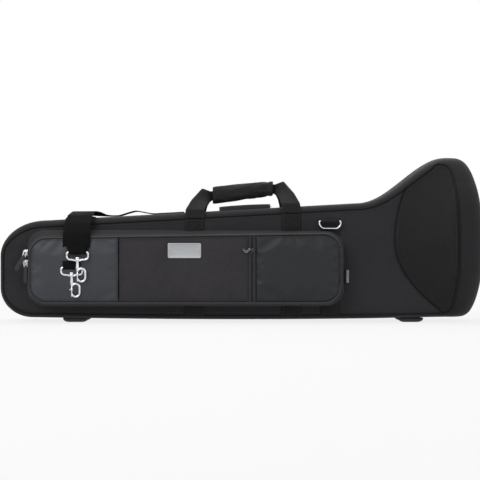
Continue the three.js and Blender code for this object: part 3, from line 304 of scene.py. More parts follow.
def seam_run(least=0.0):
    """The seam round the panels: the outline drawn in by 12 mm on top, 14 at the bell, 8 below, 8 and 52 at the
    ends, and nowhere by less than the least."""
    x, z = outline.T
    upper = ease((outline_out[:, 1] + 0.3) / 0.6)
    drop = np.maximum(seam_drop + (seam_drop_top + seam_drop_bell * bell_share) * upper, least)
    lean = np.clip(-outline_out[:, 0], 0, 1) * ease((x + 0.42) / 0.06)
    tail = max(seam_drop, least) * np.clip(1 - (x + half_length) / seam_tail_length, 0, 1)
    nose = seam_nose_drop * np.clip(1 - (half_length - x) / seam_nose_length, 0, 1)
    return smoothed(np.stack([x + tail - nose + drop * lean, z - drop * outline_out[:, 1]], 1), 8)


seam = seam_run()
upper_run = outline[:, 1] > (top_edge(outline[:, 0]) + bottom_edge(outline[:, 0])) / 2
bell_middle_z, bell_radius = 0.165, 0.175
arc_start, arc_bow_up, arc_bow_down = 0.308, 0.062, 0.142


def arc_x(z):
    """How far along the case the bell's arc lies at a height: a parabola about the bell's middle, steeper below."""
    off = (z - bell_middle_z) / bell_radius
    return arc_start + off * off * np.where(off > 0, arc_bow_up, arc_bow_down)


def sheet_grid(loop, columns, rungs):
    """A grid across a loop that follows the outline: lines whose x goes with the cosine from end to end, each from
    the lower run to the upper. They bend so that one, whose number is the fourth result, lies along the bell's arc.
    The third result is the distance to the loop."""
    left, right = loop[:, 0].min(), loop[:, 0].max()
    over, under = loop[upper_run], loop[~upper_run]
    over, under = over[np.argsort(over[:, 0])], under[np.argsort(under[:, 0])]
    line = (left + right) / 2 - (right - left) / 2 * np.cos(np.linspace(0, np.pi, columns))
    arc_line = int(np.argmin(np.abs(line - arc_start)))
    bend = np.where(
        line > line[arc_line], (right - line) / (right - line[arc_line]),
        np.clip(1 - (line[arc_line] - line) / 0.25, 0, 1))
    share = 0.5 - 0.5 * np.cos(np.linspace(0, np.pi, rungs))
    x = np.repeat(line[:, None], rungs, 1)
    for _ in range(12):
        high, low = np.interp(x, over[:, 0], over[:, 1]), np.interp(x, under[:, 0], under[:, 1])
        z = low + (high - low) * share
        x = line[:, None] + bend[:, None] * (arc_x(z) - line[arc_line])
    return x, z, np.minimum.reduce([z - low, high - z, x - left, right - x]), arc_line


# Each half's side, its depth over the slide and at the bell, and its body.
depths = {"front": (-1.0, 0.062, 0.126, "lid"), "rear": (1.0, 0.084, 0.130, "rear_half")}
climb_length, climb_bend = 0.110, 0.8


def panel_depth(half, x, z):
    """Depth of a panel: flat over the slide, and past the arc it climbs in 110 mm to the bell, round in height."""
    _, flat, bell, _ = depths[half]
    off = (z - bell_middle_z) / bell_radius
    climb = np.clip((x - arc_x(z)) / climb_length, 0, 1)
    rest = 1 - climb_bend
    climb = np.where(climb > climb_bend, climb_bend + rest * np.sin((climb - climb_bend) / rest * np.pi / 2), climb)
    return flat + (bell - flat) * climb * np.sqrt(np.clip(1 - off * off, 0, 1))


def wall_grid(rim, inner, start, end, fillet, turns):
    """A wall's x, z and depth: straight from the start to a fillet's depth before the end, then a quarter turn that
    goes inwards from the rim line to the inner line."""
    straight = np.linspace(0, 1, 9)[:-1][:, None]
    turn = np.linspace(0, np.pi / 2, turns)[:, None]
    slide = np.concatenate([straight * 0, 1 - np.cos(turn)])
    depth = np.concatenate([start + (end - fillet - start) * straight, end - fillet * (1 - np.sin(turn))])
    x, z = (rim[:, k] + (inner[:, k] - rim[:, k]) * slide for k in range(2))
    return x, z, depth


tape_edge = 0.008
fillet_slide, fillet_bell = 0.020, 0.042
outline_fillet = fillet_slide + (fillet_bell - fillet_slide) * bell_share
seam_sink, seam_sink_reach = 0.0018, 0.006
arc_sink, arc_sink_reach = 0.0016, 0.0035
cover_cloth = 0.0016
panel_columns, panel_rungs = 420, 110
for half, (side, _, _, body) in depths.items():
    seam_depth = panel_depth(half, seam[:, 0], seam[:, 1]) - seam_sink
    x, z, depth = wall_grid(outline, seam, tape_edge, seam_depth, outline_fillet, 17)
    # The foam gives by less than a millimetre here and there, most of all halfway up the wall.
    halfway = np.sin(np.pi * np.linspace(0, 1, len(depth)))[:, None]
    give = 0.0008 * np.sin(x * 31 + 2 * side) * np.sin(z * 47 + x * 11) * halfway
    wall_points = np.stack([x, side * (depth + give), z], -1).transpose(1, 0, 2)
    if side > 0:
        wall_points = wall_points[:, ::-1]
    # The wall's cloth is darkened as painted shade.
    wall = surface(f"{half}_wall", wall_points, wall_nylon_painted_shade, along_closed=True, thickness=cover_cloth)
    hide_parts(f"{half}_cover")
    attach(wall, body)

    x, z, near, arc_line = sheet_grid(seam, panel_columns, panel_rungs)
    depth = panel_depth(half, x, z) - seam_sink * np.exp(-np.clip(near, 0, 1) / seam_sink_reach)
    depth -= arc_sink * np.exp(-((x - arc_x(z)) / arc_sink_reach) ** 2)
    depth += 0.0009 * np.sin(x * 17 + 1.3) * np.sin(z * 29 + x * 7) * np.clip(near / 0.02, 0, 1) * (x > 0.21)
    panel_points = np.stack([x, side * depth, z], -1)
    if side < 0:
        panel_points = panel_points[:, ::-1]
    panel = surface(f"{half}_panel", panel_points, woven_nylon, thickness=cover_cloth)
    # Faces past the arc take the bell's cloth, whose darker colour is painted shade.
    panel.data.materials.append(bell_nylon_painted_shade)
    past_arc = np.repeat(np.arange(panel_columns - 1) >= arc_line, panel_rungs - 1)
    panel.data.polygons.foreach_set("material_index", past_arc.astype(np.int32))
    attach(panel, body)


# Piping and seams. A cord in a folded strip of cloth is sewn in where wall and panel meet, a finer one follows the
# arc of the bell panel, and a row of thread runs beside each.
def closed_piece(name, points, material, along_closed=False):
    """A closed shape from a grid of rings: each ring is one column set, and open ends get a flat cap.
    The faces are turned outwards by the sign of the volume they hold."""
    if not along_closed:
        points = np.concatenate([points[:1], points, points[-1:]])
        points[0] = points[1].mean(0)
        points[-1] = points[-2].mean(0)
    step = np.roll(points, -1, 1)
    below = np.roll(points, -1, 0)
    held = np.cross(step - points, below - points)
    if not along_closed:
        held = held[:-1]
        if (held * points[:-1]).sum() < (held * points.mean((0, 1))).sum():
            points = points[:, ::-1]
    elif (held * (points - points.mean(1, keepdims=True))).sum() < 0:
        points = points[:, ::-1]
    made = surface(name, points, material, around=True, along_closed=along_closed)
    if not along_closed:
        shape = bmesh.new()
        shape.from_mesh(made.data)
        bmesh.ops.remove_doubles(shape, verts=shape.verts, dist=1e-7)
        bmesh.ops.dissolve_degenerate(shape, edges=shape.edges, dist=1e-8)
        shape.to_mesh(made.data)
        shape.free()
    return made


def run_frame(path, up, closed=False):
    """Two directions square to a path: one across it and the rough up direction, one nearest to that up."""
    way = np.roll(path, -1, 0) - np.roll(path, 1, 0) if closed else np.gradient(path, axis=0)
    across = np.cross(way, up)
    across /= np.linalg.norm(across, axis=1)[:, None]
    above = np.cross(across, way)
    return across, above / np.linalg.norm(above, axis=1)[:, None]


def ring_of(radius, sides, flat=1.0):
    """A circle's points, across and up, pressed by a share upwards."""
    turn = np.linspace(0, 2 * np.pi, sides, endpoint=False)
    return np.stack([radius * np.cos(turn), radius * flat * np.sin(turn)], 1)


def cord_of(name, path, section, material, up=(0.0, 1.0, 0.0), closed=False):
    """A section carried along a path: each point is the path plus a times across plus b times above."""
    across, above = run_frame(path, np.asarray(up, float), closed)
    points = path[:, None] + section[..., :1] * across[:, None] + section[..., 1:] * above[:, None]
    return closed_piece(name, points, material, along_closed=closed)


def stitches(name, path, out, material, pitch=0.0042, length=0.0030, radius=0.00042, closed=False):
    """A row of thread along a path: at each pitch one bead of six sides that narrows at both ends."""
    run = np.linalg.norm(np.diff(path, axis=0), axis=1).sum()
    count = max(int(run / pitch), 2)
    at = spaced(path, count, closed)
    out = np.broadcast_to(np.asarray(out, float), path.shape)
    facing = spaced(np.hstack([path, out]), count, closed)[:, 3:]
    way = np.roll(at, -1, 0) - np.roll(at, 1, 0) if closed else np.gradient(at, axis=0)
    way /= np.linalg.norm(way, axis=1)[:, None]
    side = np.cross(way, facing)
    side /= np.linalg.norm(side, axis=1)[:, None]
    top = np.cross(side, way)
    places, sizes = np.array([-0.5, -0.25, 0.25, 0.5]) * length, np.array([0.35, 1, 1, 0.35])
    ring = ring_of(radius, 6)
    offsets = places[:, None, None, None] * way[None, None] + sizes[:, None, None, None] * (
        ring[None, :, None, :1] * side + ring[None, :, None, 1:] * top)
    points = (at + offsets).transpose(2, 0, 1, 3).reshape(-1, 3)
    quads = [
        [6 * r + k, 6 * r + (k + 1) % 6, 6 * r + 6 + (k + 1) % 6, 6 * r + 6 + k]
        for r in range(3) for k in range(6)]
    quads += [[3, 2, 1, 0], [5, 4, 3, 0], [18, 19, 20, 21], [18, 21, 22, 23]]
    faces = (np.arange(count)[:, None, None] * 24 + np.array(quads)).reshape(-1, 4)
    mesh = bpy.data.meshes.new(name)
    mesh.from_pydata(points.tolist(), [], faces.tolist())
    mesh.shade_smooth()
    mesh.materials.append(material)
    made = bpy.data.objects.new(name, mesh)
    scene.collection.objects.link(made)
    return made


# Piping: a smoother braid than the cloth, so its round back catches a thin line of light.
piping_braid = cloth("piping_braid", "#101012", "#26262a", 0.0011, 0.00012, 0.55, 0.1, 0.4)
# The cover's own seams are piped with the same braid in a deep matt black.
seam_braid = cloth("seam_braid", "#060607", "#101012", 0.0011, 0.0001, 0.75, 0.0, 0.2)
# Sewing thread: spun polyester in black, glossier than the cloth under it.
thread = cloth("black_thread", "#1c1c1f", "#3a3a3e", 0.0005, 0.00005, 0.5, 0.0, 0.4)
piping_radius = 0.0016
for half, (side, _, _, body) in depths.items():
    depth = panel_depth(half, seam[:, 0], seam[:, 1]) - 0.0008
    path = np.stack([seam[:, 0], side * depth, seam[:, 1]], 1)
    piping = cord_of(f"{half}_piping", path, ring_of(piping_radius, 10), seam_braid, closed=True)
    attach(piping, body)
    inner = seam - 0.0060 * smoothed(outline_out, 30)
    path = np.stack([inner[:, 0], side * (panel_depth(half, inner[:, 0], inner[:, 1]) - 0.0002), inner[:, 1]], 1)
    row = stitches(f"{half}_seam_thread", path, (0, side, 0), thread, closed=True)
    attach(row, body)
    x, z, _, arc_line = sheet_grid(seam, panel_columns, 160)
    arc, height = x[arc_line, 1:-1], z[arc_line, 1:-1]
    path = np.stack([arc, side * (panel_depth(half, arc, height) - 0.0008), height], 1)
    arc_cord = cord_of(f"{half}_bell_piping", path, ring_of(0.0010, 8), seam_braid)
    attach(arc_cord, body)
    arc, height = arc[8:-8], height[8:-8]
    for row_number, beside in enumerate((-0.0045, 0.0050)):
        path = np.stack([arc + beside, side * (panel_depth(half, arc + beside, height) + 0.0001), height], 1)
        row = stitches(f"{half}_bell_thread_{row_number}", path, (0, side, 0), thread)
        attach(row, body)


# Zip and hinge. Two woven tapes run round tail, top and nose with a nylon coil between them, whose turns lock;
# along the bottom a strip of webbing joins the halves and is the hinge.
# Zip coil: drawn nylon in black, half gloss.
zip_coil = cloth("nylon_coil", "#141416", "#2c2c30", 0.0006, 0.00003, 0.38, 0.0, 0.5)
zip_tape = cloth("zip_tape", "#161618", "#2c2c2f", 0.0009, 0.00012, 0.7, 0.1, 0.35)
hinge_half, hinge_top = 0.3497, 0.033
tape_rows = np.array([0.0012, 0.0030, 0.0055, 0.0080, 0.0088])
tape_rise = np.array([0.0002, 0.0001, 0.0001, 0.0003, -0.0010])
open_part = ~((np.abs(outline[:, 0]) < hinge_half) & (outline[:, 1] < hinge_top))
first = np.flatnonzero(open_part & ~np.roll(open_part, 1))[0]
zip_order = (np.arange(len(outline)) + first) % len(outline)
zip_order = zip_order[open_part[zip_order]]
zip_line, zip_out = outline[zip_order], outline_out[zip_order]
zip_3d = joined(zip_line[:, 0], 0.0, zip_line[:, 1])
zip_out_3d = joined(zip_out[:, 0], 0.0, zip_out[:, 1])
for half, (side, _, _, body) in depths.items():
    tape_points = zip_3d[:, None] + joined(0.0, side * tape_rows, 0.0) + tape_rise[:, None] * zip_out_3d[:, None]
    if side < 0:
        tape_points = tape_points[:, ::-1]
    tape = surface(f"{half}_tape", tape_points[:, ::-1], zip_tape, thickness=0.0009)
    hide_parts(f"{half}_zip_tape")
    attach(tape, body)
    coil_path = zip_3d + zip_out_3d * 0.0006 + np.array([0, side * 0.0007, 0])
    teeth = stitches(f"{half}_coil", coil_path, (0, 1, 0), zip_coil, pitch=0.0019, length=0.0014, radius=0.0007)
    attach(teeth, body)
    edge_path = zip_3d + zip_out_3d * 0.0002 + np.array([0, side * 0.0080, 0])
    row = stitches(f"{half}_tape_thread", edge_path - np.array([0, side * 0.0018, 0]), zip_out_3d, thread)
    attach(row, body)


# Webbing. Ribbed nylon straps: short lengths are sewn down on the panels under the handles and round the D-rings.
def webbing(name, dark, light, pitch, sheen=0.05, specular=0.2):
    """Ribbed webbing: cords across at the pitch, broken by a finer wave along, on the strap's own map."""
    made, tree = blank_material(name)
    place = node(tree, "TexCoord").outputs
    ribs = node(tree, "TexWave", {"bands_direction": "X"},
                {"Vector": place["UV"], "Scale": wave_period / pitch, "Distortion": 0.4})
    lines = node(tree, "TexWave", {"bands_direction": "Y"},
                 {"Vector": place["UV"], "Scale": wave_period / (1.6 * pitch), "Distortion": 1.0})
    mixed = node(tree, "Math", {"operation": "MULTIPLY_ADD"}, {0: lines.outputs["Fac"], 1: 0.4, 2: ribs.outputs["Fac"]})
    wear = node(tree, "TexNoise", {}, {"Vector": place["Object"], "Scale": 26.0, "Detail": 4.0})
    tone = node(tree, "Math", {"operation": "MULTIPLY_ADD"}, {0: wear.outputs["Fac"], 1: 0.6, 2: mixed.outputs[0]})
    ramp = node(tree, "ValToRGB", {}, {"Fac": tone.outputs[0]})
    ramp.color_ramp.elements[0].position = 0.3
    ramp.color_ramp.elements[0].color = linear(dark)
    ramp.color_ramp.elements[1].color = linear(light)
    bump = node(tree, "Bump", {}, {"Strength": 0.6, "Distance": 0.0003, "Height": mixed.outputs[0]})
    skin = node(tree, "BsdfPrincipled", {}, {
        "Base Color": ramp.outputs["Color"], "Roughness": 0.68, "Specular IOR Level": specular, "Sheen Weight": sheen,
        "Sheen Roughness": 0.4, "Normal": bump.outputs["Normal"]})
    node(tree, "OutputMaterial", {}, {"Surface": skin.outputs[0]})
    return made


# Nylon webbing: real ribs are about 1.2 mm apart and are drawn 2 mm apart so that they show.
black_webbing = webbing("ribbed_nylon_webbing", "#080909", "#141515", 0.0020)
strap_section = np.array([
    [-1.0, -0.4], [-0.97, -1.0], [-0.5, -1.0], [0.0, -1.0], [0.5, -1.0], [0.97, -1.0], [1.0, -0.4],
    [1.0, 0.4], [0.97, 1.0], [0.5, 1.0], [0.0, 1.0], [-0.5, 1.0], [-0.97, 1.0], [-1.0, 0.4]])


def strap(name, centre, half_width, thickness, material):
    """A flat strap: the section carried along the centre, a times the half width vector and b times half the
    thickness along the normal, which is square to both the way and the half width."""
    way = np.gradient(centre, axis=0)
    normal = np.cross(way, half_width)
    normal /= np.linalg.norm(normal, axis=1)[:, None]
    points = (centre[:, None] + strap_section[:, :1] * half_width[:, None]
              + strap_section[:, 1:] * normal[:, None] * thickness / 2)
    return closed_piece(name, points, material)


hinge_x = np.linspace(-hinge_half, hinge_half, 160)
centre = joined(hinge_x, 0.0, bottom_edge(hinge_x) + 0.0008)
hinge_cloth = strap("hinge_webbing", centre, np.tile([0.0, 0.0082, 0.0], (160, 1)), 0.0016, black_webbing)
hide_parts("hinge_strip")
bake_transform(hinge_cloth)

web_half = 0.019
web_low = 0.0145
web_places = {"left": (-0.0906, 0.2075), "right": (0.102, 0.2180)}
for half, end in ((half, end) for half in depths for end in web_places):
    side, flat_depth, _, body = depths[half]
    x, high = web_places[end]
    z = np.linspace(web_low, high, 70)
    near = np.minimum(z - bottom_edge(x) - 0.008, top_edge(x) - 0.012 - z)
    y = side * (flat_depth + 0.0012 - 0.0016 * np.exp(-np.clip(near, 0, 1) / 0.008))
    centre = joined(x, y, z)
    web = strap(f"{half}_strip_{end}", centre, np.tile([web_half, 0.0, 0.0], (70, 1)), 0.0018, black_webbing)
    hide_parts(f"{half}_web_{end}")
    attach(web, body)
    for edge in (-1, 1):
        path = centre + np.array([edge * (web_half - 0.003), side * 0.0009, 0.0])
        row = stitches(f"{half}_strip_thread_{end}_{'right' if edge > 0 else 'left'}", path, (0, side, 0), thread)
        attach(row, body)

# D-rings: round steel wire bent to a D and chrome plated, held by its straight bar in a turned loop of webbing.
# Chrome plate: a hard bright mirror, brushed only by faint handling marks.
chrome, tree = blank_material("chrome_plate")
chrome_place = node(tree, "TexCoord").outputs["Object"]
chrome_marks = node(tree, "TexNoise", {}, {"Vector": chrome_place, "Scale": 260.0, "Detail": 3.0})
chrome_rough = node(tree, "MapRange", {}, {"Value": chrome_marks.outputs["Fac"], "To Min": 0.10, "To Max": 0.24})
chrome_tone = node(tree, "MixRGB", {}, {0: chrome_marks.outputs["Fac"], 1: linear("#c4c7cb"), 2: linear("#e6e8ea")})
chrome_skin = node(tree, "BsdfPrincipled", {}, {
    "Base Color": chrome_tone.outputs[0], "Metallic": 1.0, "Roughness": chrome_rough.outputs[0]})
node(tree, "OutputMaterial", {}, {"Surface": chrome_skin.outputs[0]})


def rounded(centre_x, centre_z, width, height, upper, lower, steps=8):
    """A rectangle's outline with one radius above and one below, from quarter circles at its corners."""
    corners = [(1, 1, upper), (-1, 1, upper), (-1, -1, lower), (1, -1, lower)]
    turn = np.linspace(0, np.pi / 2, steps + 1)
    parts = [np.stack([
        centre_x + sx * (width / 2 - r) + r * np.cos(turn + k * np.pi / 2),
        centre_z + sz * (height / 2 - r) + r * np.sin(turn + k * np.pi / 2)], 1)
        for k, (sx, sz, r) in enumerate(corners)]
    return np.vstack(parts)


ring_wire, ring_width, ring_height = 0.00175, 0.0425, 0.0145
ring_off, loop_round = 0.00635, 0.0030
# Each D-ring's half, its place along the case, the height of its bar, and where its webbing starts.
ring_places = [("front", 0.179, 0.2023, 0.0149), ("rear", -0.374, 0.1701, 0.0293)]
for half, x, bar_z, low in ring_places:
    side, flat_depth, _, body = depths[half]
    bar_y = side * (flat_depth + ring_off)
    line = spaced(rounded(x, bar_z - ring_height / 2, ring_width, ring_height, 0.0016, 0.0112), 120, closed=True)
    path = joined(line[:, 0], bar_y, line[:, 1])
    d_ring = cord_of(f"{half}_d_ring", path, ring_of(ring_wire, 14), chrome, closed=True)
    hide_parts(f"d_ring_{half}")
    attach(d_ring, f"d_ring_{half}")
    z = np.linspace(low, bar_z, 60)
    up = np.stack([np.full_like(z, flat_depth + 0.0013), z], 1)
    turn = np.linspace(0, np.pi, 24)
    over = np.stack([flat_depth + ring_off - loop_round * np.cos(turn), bar_z + loop_round * np.sin(turn)], 1)
    down = np.linspace([flat_depth + 0.0093, bar_z - 0.001], [flat_depth + 0.0034, bar_z - 0.0105], 14)
    tail = np.linspace([flat_depth + 0.0032, bar_z - 0.0115], [flat_depth + 0.0032, bar_z - 0.0150], 5)
    profile = smoothed(spaced(np.vstack([up, over, down, tail]), 160), 4, closed=False)
    centre = joined(x, side * profile[:, 0], profile[:, 1])
    loop = strap(f"{half}_ring_strap", centre, np.tile([web_half - 0.0005, 0.0, 0.0], (160, 1)), 0.0018, black_webbing)
    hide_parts(f"{half}_ring_web")
    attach(loop, body)

# Feet: bumpers of black rubber, moulded with a domed edge and riveted under both halves.
# Moulded rubber: matt, with the fine grain of the mould.
rubber, tree = blank_material("moulded_rubber")
rubber_place = node(tree, "TexCoord").outputs["Object"]
rubber_grain = node(tree, "TexNoise", {}, {"Vector": rubber_place, "Scale": 900.0, "Detail": 4.0})
rubber_tone = node(tree, "MixRGB", {}, {0: rubber_grain.outputs["Fac"], 1: linear("#232324"), 2: linear("#414142")})
rubber_bump = node(tree, "Bump", {}, {"Strength": 0.4, "Distance": 0.0003, "Height": rubber_grain.outputs["Fac"]})
rubber_skin = node(tree, "BsdfPrincipled", {}, {
    "Base Color": rubber_tone.outputs[0], "Roughness": 0.6, "Specular IOR Level": 0.4,
    "Normal": rubber_bump.outputs["Normal"]})
node(tree, "OutputMaterial", {}, {"Surface": rubber_skin.outputs[0]})
foot_places = {"left": -0.331, "right": 0.3435}
foot_depths = {"front": 0.028, "rear": 0.050}
foot_length, foot_corner, foot_from_zip = 0.050, 0.009, 0.013
foot_levels = [(0.0084, 0.0002), (0.0060, 0.0), (0.0045, 0.0006), (0.0028, 0.0022), (0.0012, 0.0050), (0.0003, 0.0085),
               (0.0, 0.0115)]
for half, (side, _, _, body) in depths.items():
    foot_depth = foot_depths[half]
    for end, x in foot_places.items():
        rings = []
        for height, inset in foot_levels:
            corner = foot_corner - 0.5 * inset
            line = rounded(x, side * (foot_from_zip + foot_depth / 2), foot_length - 2 * inset,
                           foot_depth - 1.2 * inset, corner, corner)
            rings.append(joined(line[:, 0], line[:, 1], height))
        foot = closed_piece(f"{half}_bumper_{end}", np.array(rings), rubber)
        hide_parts(f"{half}_foot_{end}")
        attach(foot, body)


# Pocket. A tray of the wall's cloth is sewn to the front panel, and a deep flap zips onto it: a gusset, and a front
# of three padded panels that are piped round the rim, two of smooth coated nylon and a woven one between them.
pocket_back, pocket_front = 0.0623, 0.0943
pocket_left, pocket_right, pocket_bottom, pocket_top = -0.422, 0.206, 0.034, 0.184
pocket_corner = 0.034


def pocket_edge(share, inset=0.0, steps=14):
    """The pocket's outline at a share of its depth, drawn in by an inset: a box with round corners that narrows
    towards the front, and whose top falls 2 mm to the right at the back and climbs 9 mm at the front."""
    left, right = pocket_left + 0.007 * share + inset, pocket_right - 0.007 * share - inset
    bottom, top = pocket_bottom + 0.008 * share + inset, pocket_top - 0.016 * share - inset
    corner = pocket_corner - inset
    line = rounded((left + right) / 2, (bottom + top) / 2, right - left, top - bottom, corner, corner, steps)
    climb = (0.011 * share - 0.002) * (line[:, 0] - left) / (right - left) * (line[:, 1] - bottom) / (top - bottom)
    return spaced(line + np.stack([0 * climb, climb], 1), 420, closed=True)


def pocket_ring(share, inset):
    """The pocket's outline in space, at a share of its depth."""
    return np.insert(pocket_edge(share, inset), 1, -(pocket_back + (pocket_front - pocket_back) * share), 1)


def pocket_band(name, first, last, belly, material, body, count=10):
    """A band of the pocket's side: the outline at each share of the depth, pushed out by half a sine of the belly."""
    way = np.linspace(0, 1, count)
    rings = [pocket_ring(share, -belly * math.sin(math.pi * w)) for share, w in zip(first + (last - first) * way, way)]
    band = surface(name, np.array(rings), material, around=True, thickness=0.0015)
    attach(band, body)
    return band


# The gusset's cloth: the wall's weave in a deeper black, which is painted shade for the pocket's shaded underside.
gusset_nylon_painted_shade = cloth("woven_black_nylon_gusset_painted_shade", "#0f0e10", "#201f21", 0.0016, 0.0002, 0.8, 0.1, 0.25)
tray_band = pocket_band("pocket_tray_wall", 0.0, 0.46, 0.0016, gusset_nylon_painted_shade, "lid")
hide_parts("pocket_tray")
flap_band = pocket_band("pocket_flap_wall", 0.66, 0.98, 0.0012, gusset_nylon_painted_shade, "pocket_flap")
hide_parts("pocket_gusset")
pocket_band("pocket_tray_tape", 0.45, 0.545, -0.0003, zip_tape, "lid", 4)
pocket_band("pocket_flap_tape", 0.575, 0.67, -0.0003, zip_tape, "pocket_flap", 4)
for name, share, body in (("pocket_tray_coil", 0.54, "lid"), ("pocket_flap_coil", 0.58, "pocket_flap")):
    coil = stitches(name, pocket_ring(share, -0.0002), (0, 1, 0), zip_coil, pitch=0.0019, length=0.0013,
                    radius=0.0007, closed=True)
    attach(coil, body)
for name, share, radius, body in (
        ("pocket_base_piping", 0.02, 0.0011, "lid"), ("pocket_tray_piping", 0.45, 0.0009, "lid"),
        ("pocket_flap_piping", 0.67, 0.0009, "pocket_flap"), ("pocket_rim_piping", 0.985, 0.0017, "pocket_flap")):
    edging = cord_of(name, pocket_ring(share, -0.0003), ring_of(radius, 8), piping_braid, closed=True)
    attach(edging, body)

lining_ring = pocket_edge(0.0, 0.0005)
lining_middle = np.array([(lining_ring[:, 0].min() + lining_ring[:, 0].max()) / 2, lining_ring[:, 1].mean()])
shrink = np.linspace(0.02, 1, 16)[:, None, None]
back_points = lining_middle + (lining_ring - lining_middle)[None] * shrink
back_sheet = surface("pocket_back", np.insert(back_points, 1, -0.0642, 2)[::-1], zip_tape, around=True,
                     thickness=0.0012)
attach(back_sheet, "lid")


def points_of(piece):
    """The points of a piece's mesh."""
    held = np.empty(len(piece.data.vertices) * 3)
    piece.data.vertices.foreach_get("co", held)
    return held.reshape(-1, 3)


def finer(piece):
    """One step of subdivision, on screen and in the render."""
    step = piece.modifiers.new("finer", "SUBSURF")
    step.levels = step.render_levels = 1


def pressed(piece, rim, swell, slack, cap):
    """Cloth simulation of a padded piece, applied to its mesh: rim is each point's hold, swell the air pressure,
    slack the share by which the cloth is cut too large, and cap the farthest that a point may move."""
    group = piece.vertex_groups.new(name="sewn")
    for index in np.flatnonzero(rim > 0):
        group.add([int(index)], float(rim[index]), "REPLACE")
    before = np.empty(len(piece.data.vertices) * 3, np.float32)
    piece.data.vertices.foreach_get("co", before)
    cloth_step = piece.modifiers.new("cloth", "CLOTH")
    settings = cloth_step.settings
    settings.quality = 6
    settings.mass = 0.25
    settings.tension_stiffness = settings.compression_stiffness = 30.0
    settings.bending_stiffness = 1.2
    settings.use_pressure = True
    settings.uniform_pressure_force = swell
    settings.shrink_min = settings.shrink_max = -slack
    settings.effector_weights.gravity = 0.0
    settings.vertex_group_mass = "sewn"
    for modifier in piece.modifiers:
        modifier.show_viewport = modifier == cloth_step
    for step in range(1, 21):
        scene.frame_set(step)
    held = piece.evaluated_get(bpy.context.evaluated_depsgraph_get())
    after = np.empty_like(before)
    held.data.vertices.foreach_get("co", after)
    move = (after - before).reshape(-1, 3)
    length = np.linalg.norm(move, axis=1, keepdims=True)
    move *= np.minimum(1, cap / np.maximum(length, 1e-9))
    piece.modifiers.remove(cloth_step)
    for modifier in piece.modifiers:
        modifier.show_viewport = True
    piece.data.vertices.foreach_set("co", (before.reshape(-1, 3) + move).ravel())
    piece.data.update()
    scene.frame_set(1)


# Coated nylon: a fine smooth weave under a clear coat, so it looks blue grey and takes broad soft lights.
coated_nylon = cloth("coated_nylon_blue_black", "#26272c", "#34353c", 0.0011, 0.00006, 0.50, 0.1, 0.42)
# The right panel is the same coated cloth, darkened as painted shade, since the light falls from the left.
coated_nylon_painted_shade = cloth("coated_nylon_black_painted_shade", "#0f1114", "#181a1e", 0.0011, 0.00006, 0.52, 0.06, 0.34)
# The middle panel has the weave of the cover in a lighter black.
light_nylon = cloth("woven_black_nylon_light", "#1b191c", "#343135", 0.0016, 0.00025, 0.78)
rim_line = pocket_edge(1.0, 0.0006)
rim_middle = (rim_line[:, 1].min() + rim_line[:, 1].max()) / 2
rim_over = rim_line[rim_line[:, 1] >= rim_middle]
rim_under = rim_line[rim_line[:, 1] < rim_middle]
rim_over, rim_under = rim_over[np.argsort(rim_over[:, 0])], rim_under[np.argsort(rim_under[:, 0])]
panel_crown, panel_lip = 0.0022, 0.0014
badge_x, badge_z, badge_width, badge_height = -0.1095, 0.144, 0.066, 0.030
# Each front panel's name, its two ends, its cloth, its slot, and the share by which it is cut too large.
panel_places = [
    ("left", rim_line[:, 0].min(), -0.2395, coated_nylon, "smooth_nylon", 0.010),
    ("middle", -0.2386, 0.0172, light_nylon, "woven_nylon", 0.004),
    # The right panel's darker cloth is painted shade.
    ("right", 0.0306, rim_line[:, 0].max(), coated_nylon_painted_shade, "smooth_nylon", 0.018),
]
for name, x0, x1, material, slot, slack in panel_places:
    count = int((x1 - x0) / 0.0036)
    way = np.linspace(0, 1, count)
    round_end = {"left": np.maximum(way, 0) ** 1.6, "right": 1 - (1 - way) ** 1.6}.get(name, way)
    columns = x0 + (x1 - x0) * round_end
    high = np.interp(columns, rim_over[:, 0], rim_over[:, 1])
    low = np.interp(columns, rim_under[:, 0], rim_under[:, 1])
    up = np.linspace(0, 1, 38)
    x = np.repeat(columns[:, None], len(up), 1)
    z = low[:, None] + (high - low)[:, None] * up
    near = np.minimum.reduce([z - low[:, None], high[:, None] - z, x - x0, x1 - x])
    y = -(pocket_front - panel_lip + (panel_crown + panel_lip) * (1 - np.exp(-np.clip(near, 0, 1) / 0.009)))
    beside = np.maximum(np.abs(x - badge_x) - badge_width / 2, np.abs(z - badge_z) - badge_height / 2)
    under_badge = 1 - ease(beside / 0.012)
    y += 0.0016 * under_badge
    front = surface(f"pocket_front_{name}", np.stack([x, y, z], -1)[:, ::-1], material, thickness=0.0018)
    sewn = np.maximum(near < 0.0018, under_badge > 0.9)
    pressed(front, sewn[:, ::-1].ravel(), 0.9, slack, 0.0032)
    finer(front)
    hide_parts(f"pocket_panel_{name}")
    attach(front, "pocket_flap")

row_z = np.linspace(0.046, 0.166, 60)
for name, x in (("left", -0.2435), ("middle", -0.2346)):
    path = joined(x, -pocket_front - 0.0016, row_z)
    row = stitches(f"pocket_seam_thread_{name}", path, (0, -1, 0), thread)
    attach(row, "pocket_flap")
line = pocket_edge(1.0, 0.0042)
rim_thread = stitches("pocket_rim_thread", np.insert(line, 1, -pocket_front - 0.0012, 1), (0, -1, 0), thread,
                      closed=True)
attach(rim_thread, "pocket_flap")

